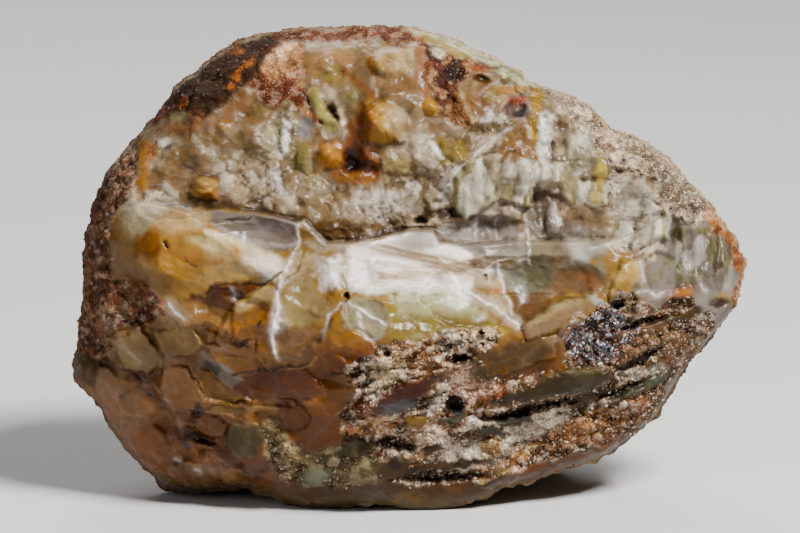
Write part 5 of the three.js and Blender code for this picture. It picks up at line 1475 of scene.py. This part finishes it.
def rind_colours(p):
    u, v, _ = p.T
    warped = p + 2.2 * np.stack((gyre(p, 7, 0.3), gyre(p, 7, 2.2), gyre(p, 7, 4.1)), 1)
    colours = np.zeros(p.shape)
    colours[:] = paint("7E5A40")
    for share, colour in [
        (smooth(-0.1, 0.9, gyre(warped, 31, 1.0)) * 0.8, "8E6E4E"),
        (smooth(0.3, 1.0, gyre(warped, 22, 3.0)) * 0.7, "6E4238"),
        (smooth(-20, -36, u + 0.2 * v) * 0.8, "6E4238"),
        (sandy_side(u, v) * 0.95, "C2A888"),
        (smooth(-16, -26, v) * 0.75, "9A8366"),
        (smooth(0.5, 1.0, gyre(warped, 15, 5.0)) * 0.6, "4E3A2C"),
        (smooth(0.5, 1.1, gyre(warped, 12, 0.6)) * 0.5, "A89878"),
        (smooth(0.6, 1.1, gyre(warped, 9, 2.6)) * 0.5, "A0673E"),
        (smooth(0.7, 1.2, gyre(warped, 3.1, 1.6)) * 0.5, "4A2E24"),
        (smooth(0.7, 1.2, gyre(warped, 2.3, 4.6)) * 0.4, "B49A7C"),
    ]:
        colours = laid(colours, share, colour)
    return colours


points = get_points(stone.data)
places = lie_back(points)
u, v, w = places.T
front = face_front(places)
calm_places = patch(GREEN_FACE) + patch(PINK_SLOPE) + shelf + patch(LILAC_LIP, 0.3)
calm = unit(calm_places + patch(GREY_RECESS, 0.4) + left_facets)

# Behind the face's edge, colours are read a little further in, so that none is drawn out along the side
behind_edge = np.clip(read_sheet(edge_depth, u, v) - w, 0, 6)
round_edge = 0.5 * behind_edge / np.maximum(np.hypot(u, v), 1)
u = u * (1 - round_edge)
v = v * (1 - round_edge)
shade = rind_colours(places) * (1 - front[:, None]) + read_sheet(stain, u, v) * front[:, None]
# Nearness to the edges between chips; the material lightens it along the ridges as a painted highlight
painted_edge_light = np.maximum(big_edge * low_left, np.maximum(mid_edge * 0.5, small_edge * wall * 0.7))
clear_stone = glassy * (1 - 0.7 * smooth(-43, -45.5, U)) + lenses * rubbly * 0.8
clear_stone = clear_stone + 0.8 * wall * (1 - sparkling)
faceted = (0.35 * glassy + 0.65 * glassy * low_left) * (1 - 0.75 * calm) + 0.45 * clear
faceted = faceted + 0.5 * lenses * rubbly
upright = unit(curtain + tall + flutes + wall * smooth(9, 14, U) * smooth(4, 8, V))
add_attribute(stone.data, "stain", shade)
for name, sheet in [
    ("glassy", clear_stone), ("faceted", faceted), ("upright", upright), ("rubbly", crumbly),
    ("crystalline", wall * (0.1 + 0.9 * sparkling) * (1 - 0.7 * curtain)),
    ("ridge", painted_edge_light * (1 - gritty) * (1 - rubbly)),
]:
    add_attribute(stone.data, name, front * read_sheet(sheet, u, v))
# How far each place lies down in small hollows and in broad ones; the material darkens both as painted
# shade
for name, sheet, depth in [
    ("hollow_shade", relief * (1 - 0.6 * crumbly), 0.45), ("deep_shade", broad_relief * (1 - 0.6 * wall), 1.6),
]:
    add_attribute(stone.data, name, front * unit(-read_sheet(sheet, u, v) / depth))
add_attribute(stone.data, "gritty", unit(1 - front + front * read_sheet(gritty, u, v)))

# Materials


def give(tree, socket, value):
    """Links a socket or sets its value"""
    if isinstance(value, bpy.types.NodeSocket):
        tree.links.new(value, socket)
    else:
        socket.default_value = value


def node_at(tree, kind, inputs=None, **settings):
    node = tree.nodes.new(kind)
    for key, value in settings.items():
        setattr(node, key, value)
    for name, value in (inputs or {}).items():
        give(tree, node.inputs[name], value)
    return node


def attribute(tree, name, output="Fac"):
    return node_at(tree, "ShaderNodeAttribute", attribute_name=name).outputs[output]


def noise(tree, coordinates, per_metre, detail=3.0, rough=0.55, output="Fac"):
    inputs = {"Vector": coordinates, "Scale": per_metre, "Detail": detail, "Roughness": rough}
    return node_at(tree, "ShaderNodeTexNoise", inputs).outputs[output]


def vector_sum(tree, operation, first, second):
    node = node_at(tree, "ShaderNodeVectorMath", operation=operation)
    for socket, value in zip(node.inputs, (first, second)):
        give(tree, socket, value)
    return node.outputs["Value" if operation == "DOT_PRODUCT" else "Vector"]


def facets(tree, coordinates, per_metre, turn=0.0, stretch=(1, 1, 1)):
    """Flat facets that each lean their own way: their height in metres and a tone each"""
    inputs = {"Vector": coordinates, "Rotation": (0, math.radians(turn), 0), "Scale": stretch}
    drawn_out = node_at(tree, "ShaderNodeMapping", inputs, vector_type="TEXTURE").outputs["Vector"]
    wander = noise(tree, drawn_out, per_metre * 0.7, 0, 0.5, "Color")
    shift = vector_sum(tree, "MULTIPLY", wander, (1.1 / per_metre,) * 3)
    wavering = vector_sum(tree, "ADD", drawn_out, shift)
    cells = node_at(tree, "ShaderNodeTexVoronoi", {"Vector": wavering, "Scale": per_metre})
    away = vector_sum(tree, "SUBTRACT", wavering, cells.outputs["Position"])
    lean = vector_sum(tree, "SUBTRACT", cells.outputs["Color"], (0.5, 0.5, 0.5))
    tone = node_at(tree, "ShaderNodeSeparateColor", {"Color": cells.outputs["Color"]}).outputs[0]
    return vector_sum(tree, "DOT_PRODUCT", away, lean), tone


def ramp(tree, source, low, high, low_value=0.0, high_value=1.0):
    inputs = {"Value": source, "From Min": low, "From Max": high, "To Min": low_value, "To Max": high_value}
    return node_at(tree, "ShaderNodeMapRange", inputs, clamp=True).outputs["Result"]


def combine(tree, operation, first, second):
    node = node_at(tree, "ShaderNodeMath", operation=operation)
    for socket, value in zip(node.inputs, (first, second)):
        give(tree, socket, value)
    return node.outputs[0]


def times(tree, first, second):
    return combine(tree, "MULTIPLY", first, second)


def mix(tree, share, first, second, blend):
    node = node_at(tree, "ShaderNodeMix", data_type="RGBA", blend_type=blend)
    for name, value in (("Factor", share), ("A", first), ("B", second)):
        socket = [s for s in node.inputs if s.name == name and s.enabled][0]
        give(tree, socket, (*value, 1.0) if isinstance(value, tuple) else value)
    return [s for s in node.outputs if s.enabled][0]


def new_material(name):
    material = bpy.data.materials.new(name)
    material.use_nodes = True
    tree = material.node_tree
    return material, tree, tree.nodes["Principled BSDF"]


def chalcedony():
    material, tree, shader = new_material("chalcedony_and_rind")
    coordinates = node_at(tree, "ShaderNodeTexCoord").outputs["Object"]
    glass = attribute(tree, "glassy")
    crystal = attribute(tree, "crystalline")
    rough_share = combine(tree, "MAXIMUM", attribute(tree, "gritty"), attribute(tree, "rubbly"))
    slow = noise(tree, coordinates, 260)
    quick = noise(tree, coordinates, 1100)
    finest = noise(tree, coordinates, 3200, 2.0)
    broken = attribute(tree, "faceted")
    upright = attribute(tree, "upright")
    crystal_height, crystal_tone = facets(tree, coordinates, 1600)
    wide_height, wide_tone = facets(tree, coordinates, 380, 38, (2.2, 1, 1))
    small_height, small_tone = facets(tree, coordinates, 900, 20, (1.6, 1, 1))
    upright_height, upright_tone = facets(tree, coordinates, 900, 0, (1, 1, 3.2))

    # Clouds and threads inside the clear stone
    colour = attribute(tree, "stain", "Color")
    colour = mix(tree, ramp(tree, slow, 0.4, 0.68, 0.0, 0.35), colour, (0.4, 0.27, 0.15), "MULTIPLY")
    colour = mix(tree, ramp(tree, quick, 0.5, 0.74, 0.0, 0.28), colour, (0.78, 0.7, 0.58), "SOFT_LIGHT")
    colour = mix(tree, ramp(tree, quick, 0.46, 0.3, 0.0, 0.3), colour, (0.3, 0.18, 0.1), "MULTIPLY")

    # Crystals, facets, upright plume and specks of the rind, each a little lighter or darker:
    # the tone, from and to, where, how much and the darker tint
    for tone, low, high, where, strength, tint in [
        (crystal_tone, 0.7, 0.9, crystal, 0.35, None),
        (crystal_tone, 0.4, 0.1, crystal, 0.45, (0.4, 0.28, 0.18)),
        (wide_tone, 0.5, 0.2, broken, 0.45, (0.5, 0.36, 0.25)),
        (small_tone, 0.7, 0.95, broken, 0.35, None),
        (upright_tone, 0.45, 0.2, upright, 0.5, (0.5, 0.44, 0.34)),
        (upright_tone, 0.6, 0.85, upright, 0.25, None),
        (finest, 0.53, 0.66, rough_share, 0.9, None),
        (finest, 0.46, 0.36, rough_share, 0.6, (0.3, 0.24, 0.2)),
    ]:
        share = times(tree, ramp(tree, tone, low, high), where)
        share = times(tree, share, strength)
        colour = mix(tree, share, colour, tint or colour, "MULTIPLY" if tint else "ADD")

    # Ridges get a painted highlight, and hollows get painted shade
    for name, strength, tint, blend in [
        ("ridge", 0.05, (0.75, 0.66, 0.52), "MIX"), ("hollow_shade", 0.35, (0.26, 0.15, 0.08), "MULTIPLY"),
        ("deep_shade", 0.25, (0.35, 0.22, 0.12), "MULTIPLY"),
    ]:
        colour = mix(tree, times(tree, attribute(tree, name), strength), colour, tint, blend)
    give(tree, shader.inputs["Base Color"], colour)

    roughness = combine(tree, "SUBTRACT", 0.84, times(tree, glass, 0.6))
    roughness = combine(tree, "SUBTRACT", roughness, times(tree, crystal, 0.56))
    roughness = combine(tree, "ADD", roughness, ramp(tree, slow, 0.3, 0.7, -0.03, 0.1))
    give(tree, shader.inputs["Roughness"], roughness)
    shader.inputs["IOR"].default_value = 1.54
    shader.inputs["Specular IOR Level"].default_value = 0.16
    give(tree, shader.inputs["Subsurface Weight"], ramp(tree, glass, 0.0, 1.0, 0.04, 0.2))
    shader.inputs["Subsurface Radius"].default_value = (1.0, 0.8, 0.55)
    shader.inputs["Subsurface Scale"].default_value = 0.0008

    # Bumps, each on the one before: strength, distance in metres and height
    grain_share = combine(tree, "ADD", times(tree, rough_share, 0.95), 0.03)
    facet_height = combine(tree, "ADD", wide_height, times(tree, small_height, 0.5))
    before = None
    for strength, distance, height in [
        (grain_share, 0.00022, finest), (times(tree, crystal, 0.8), 1.0, crystal_height),
        (times(tree, broken, 0.9), 1.0, facet_height),
        (times(tree, upright, 0.6), 1.0, upright_height),
        (ramp(tree, glass, 0.0, 1.0, 0.35, 0.07), 0.0003, quick),
    ]:
        inputs = {"Strength": strength, "Distance": distance, "Height": height}
        if before:
            inputs["Normal"] = before
        before = node_at(tree, "ShaderNodeBump", inputs).outputs["Normal"]
    give(tree, shader.inputs["Normal"], before)
    return material


def grains():
    material, tree, shader = new_material("loose_grains")
    coordinates = node_at(tree, "ShaderNodeTexCoord").outputs["Object"]
    speckle = noise(tree, coordinates, 4200, 2.0)
    colour = attribute(tree, "stain", "Color")
    colour = mix(tree, ramp(tree, speckle, 0.4, 0.65, 0.0, 0.5), colour, (0.3, 0.18, 0.1), "MULTIPLY")
    give(tree, shader.inputs["Base Color"], colour)
    shader.inputs["Roughness"].default_value = 0.62
    return material


stone_material = chalcedony()
grain_material = grains()
stone.data.materials.append(stone_material)

# Grains and chips that stand on the rind and in the rubble


def angular_grain(seed, shape):
    """One broken grain about a unit across: its points and triangles"""
    deselect()
    bpy.ops.mesh.primitive_ico_sphere_add(subdivisions=1, radius=0.5)
    grain = bpy.context.object
    draw = np.random.RandomState(seed)
    points = get_points(grain.data)
    points *= (0.66 + 0.6 * draw.rand(len(points)))[:, None]
    points *= shape
    triangles = np.array([p.vertices[:] for p in grain.data.polygons])
    bpy.data.objects.remove(grain, do_unlink=True)
    return points, triangles


def random_turns(count, draw):
    """Random rotations, one matrix each"""
    q = draw.normal(size=(count, 4))
    q /= np.linalg.norm(q, axis=1)[:, None]
    a, b, c, d = q.T
    rows = [[1 - 2 * (c * c + d * d), 2 * (b * c - a * d), 2 * (b * d + a * c)],
            [2 * (b * c + a * d), 1 - 2 * (b * b + d * d), 2 * (c * d - a * b)],
            [2 * (b * d - a * c), 2 * (c * d + a * b), 1 - 2 * (b * b + c * c)]]
    return np.array([[np.broadcast_to(x, count) for x in row] for row in rows]).transpose(2, 0, 1)


def read_faces(mesh, name, size):
    flat = np.empty(len(mesh.polygons) * size, np.float32)
    mesh.polygons.foreach_get(name, flat)
    return flat.reshape(-1, size).astype(float)


middles = read_faces(stone.data, "center", 3)
outward = read_faces(stone.data, "normal", 3)
areas = read_faces(stone.data, "area", 1)[:, 0]
middle_places = lie_back(middles)
front_share = face_front(middle_places)


SMALLEST_GRAIN = 0.0002
LOWEST_GRAIN = 0.002
GRAIN_SHAPES = 4
ROUND_GRAIN = (1.0, 0.82, 0.68)


def scatter(name, chance, count, largest, seed, tones, sink, shape, own_tone):
    """A piece made of many grains, each on the stone at a place that the chance allows"""
    draw = np.random.RandomState(seed)
    weight = chance * areas * (middles[:, 2] > LOWEST_GRAIN)
    chosen = draw.choice(len(weight), count, p=weight / weight.sum())
    size = SMALLEST_GRAIN + (largest - SMALLEST_GRAIN) * draw.rand(count) ** 2.2
    turns = random_turns(count, draw)
    shapes = [angular_grain(seed + k, shape) for k in range(GRAIN_SHAPES)]
    kind = draw.randint(0, len(shapes), count)
    tone = draw.randint(0, len(tones), count)
    own = draw.rand(count) * 0.6 + 0.75
    ground = read_sheet(stain, middle_places[chosen, 0], middle_places[chosen, 1])
    ground = np.where(front_share[chosen, None] > 0.5, ground, rind_colours(middle_places[chosen]))
    shades = ((1 - own_tone) * ground + own_tone * np.array([paint(t) for t in tones])[tone]) * own[:, None]
    all_points = []
    all_triangles = []
    all_shades = []
    start = 0
    for k, (points, triangles) in enumerate(shapes):
        mine = np.nonzero(kind == k)[0]
        turned_points = np.einsum("nij,pj->npi", turns[mine], points) * size[mine][:, None, None]
        centre = middles[chosen[mine]] + outward[chosen[mine]] * (size[mine] * sink)[:, None]
        placed = turned_points + centre[:, None, :]
        all_points.append(placed.reshape(-1, 3))
        offsets = start + np.arange(len(mine)) * len(points)
        all_triangles.append((triangles[None] + offsets[:, None, None]).reshape(-1, 3))
        all_shades.append(np.repeat(shades[mine], len(points), 0))
        start += len(mine) * len(points)
    mesh = bpy.data.meshes.new(name)
    mesh.from_pydata(np.concatenate(all_points).tolist(), [], np.concatenate(all_triangles).tolist())
    mesh.update()
    add_attribute(mesh, "stain", np.concatenate(all_shades))
    piece = bpy.data.objects.new(name, mesh)
    bpy.context.scene.collection.objects.link(piece)
    piece.data.materials.append(grain_material)
    return piece


def sheet_chance(sheet):
    return read_sheet(sheet, middle_places[:, 0], middle_places[:, 1]) * front_share


side_sand = sandy_side(middle_places[:, 0], middle_places[:, 1])
sand_chance = unit(sheet_chance(sand_rind) + 0.5 * (1 - front_share) * side_sand)
red_chance = sheet_chance(left_rind + 0.5 * top_left_rind) + 0.35 * (1 - front_share) * (1 - side_sand)
red_chance = unit(red_chance)
crust_chance = sheet_chance(unit(crusts + 0.25 * low_crust))
needle_chance = sheet_chance(dark_crystals * spread(1.6, 361, -0.3, 0.3))
sand_grains = scatter("sand_grains", sand_chance, 6500, 0.0006, 401,
                      ["D2B898", "E6D4B8", "C8AC90", "9A866C", "E8D2B4"], 0.0, ROUND_GRAIN, 0.4)
red_grains = scatter("red_rind_grains", red_chance, 5500, 0.0006, 411,
                     ["6E4238", "5A342C", "8A5A44", "7E5A40", "8A7460"], 0.0, ROUND_GRAIN, 0.3)
rubble_shards = scatter("rubble_shards", sheet_chance(crumbly), 8500, 0.0008, 421,
                        ["E4D6C0", "C8A078", "B86A3C", "8A7860", "4E3826", "DCCCB4", "A87848", "C88C74"],
                        -0.2, (1.5, 0.9, 0.6), 0.45)
crust_crumbs = scatter("crust_crumbs", crust_chance, 1600, 0.0006, 431,
                       ["B8A888", "AE7C4C", "9A5638", "7E4032", "C4AE90"], -0.1, ROUND_GRAIN, 0.35)
dark_needles = scatter("dark_crystals", needle_chance, 1000, 0.0008, 441,
                       ["20222A", "2E3038", "8C8C98", "D4D0DA", "5A5A66", "9A5A40"],
                       0.0, (1.5, 0.7, 0.6), 0.8)

# The broken wall and the mass below it, each cut from the rind along its own natural edge


def take_faces(chosen, name):
    """Makes the chosen faces of the stone a piece of their own"""
    deselect()
    stone.select_set(True)
    bpy.context.view_layer.objects.active = stone
    bpy.ops.object.mode_set(mode="EDIT")
    bpy.ops.mesh.select_mode(type="FACE")
    bpy.ops.mesh.select_all(action="DESELECT")
    bpy.ops.object.mode_set(mode="OBJECT")
    stone.data.polygons.foreach_set("select", chosen)
    bpy.ops.object.mode_set(mode="EDIT")
    bpy.ops.mesh.separate(type="SELECTED")
    bpy.ops.object.mode_set(mode="OBJECT")
    piece = [thing for thing in bpy.context.selected_objects if thing != stone][0]
    piece.name = name
    return piece


broken = front_share > 0.5
upper = read_sheet(above_rim, middle_places[:, 0], middle_places[:, 1]) > 0.5
forward_mass = take_faces(broken & ~upper, "forward_mass")
middle_places = lie_back(read_faces(stone.data, "center", 3))
upper_wall = take_faces(face_front(middle_places) > 0.5, "upper_wall")
stone.name = "weathered_rind"

faces = [stone, upper_wall, forward_mass]
for piece in faces:
    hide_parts("agate")
for piece in faces + [sand_grains, red_grains, rubble_shards, crust_crumbs, dark_needles]:
    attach(piece, "root")

# Floor, lights and camera

FLOOR_SIZE = 6
deselect()
bpy.ops.mesh.primitive_plane_add(size=FLOOR_SIZE)
floor = bpy.context.object
floor.name = "floor"
floor_material, _, floor_shader = new_material("pale_floor")
floor_shader.inputs["Base Color"].default_value = (0.56, 0.55, 0.54, 1)
floor_shader.inputs["Roughness"].default_value = 0.9
floor.data.materials.append(floor_material)

world = bpy.data.worlds.new("studio")
world.use_nodes = True
world.node_tree.nodes["Background"].inputs["Color"].default_value = (1, 1, 1, 1)
world.node_tree.nodes["Background"].inputs["Strength"].default_value = 0.06
bpy.context.scene.world = world


def place_and_aim(name, data, place, target):
    thing = bpy.data.objects.new(name, data)
    bpy.context.scene.collection.objects.link(thing)
    thing.location = place
    thing.rotation_euler = (Vector(target) - Vector(place)).to_track_quat("-Z", "Y").to_euler()
    return thing


def soft_light(name, place, target, size, power):
    data = bpy.data.lights.new(name, "AREA")
    data.size = size
    data.energy = power
    place_and_aim(name, data, place, target)


MIDDLE = (0.007, -0.01, 0.033)
soft_light("key", (0.34, -0.36, 0.62), MIDDLE, 0.2, 17.5)
soft_light("fill", (-0.5, -0.5, 0.3), MIDDLE, 0.5, 1.2)
soft_light("back", (-0.1, 0.5, 0.5), MIDDLE, 0.4, 3.0)

IMAGE_WIDTH = 800
PIXELS_PER_MM = 7.0
LENS = 300.0
SENSOR = 36.0
AIM = (-1.0, 0.5)
distance = IMAGE_WIDTH / PIXELS_PER_MM * LENS / SENSOR
camera_data = bpy.data.cameras.new("camera")
camera_data.lens = LENS
camera_data.sensor_width = SENSOR
camera_data.clip_start = 0.01
seen_from, seen_to = stand_up(np.array([[*AIM, distance], [*AIM, 0.0]]))
bpy.context.scene.camera = place_and_aim("camera", camera_data, seen_from, seen_to)
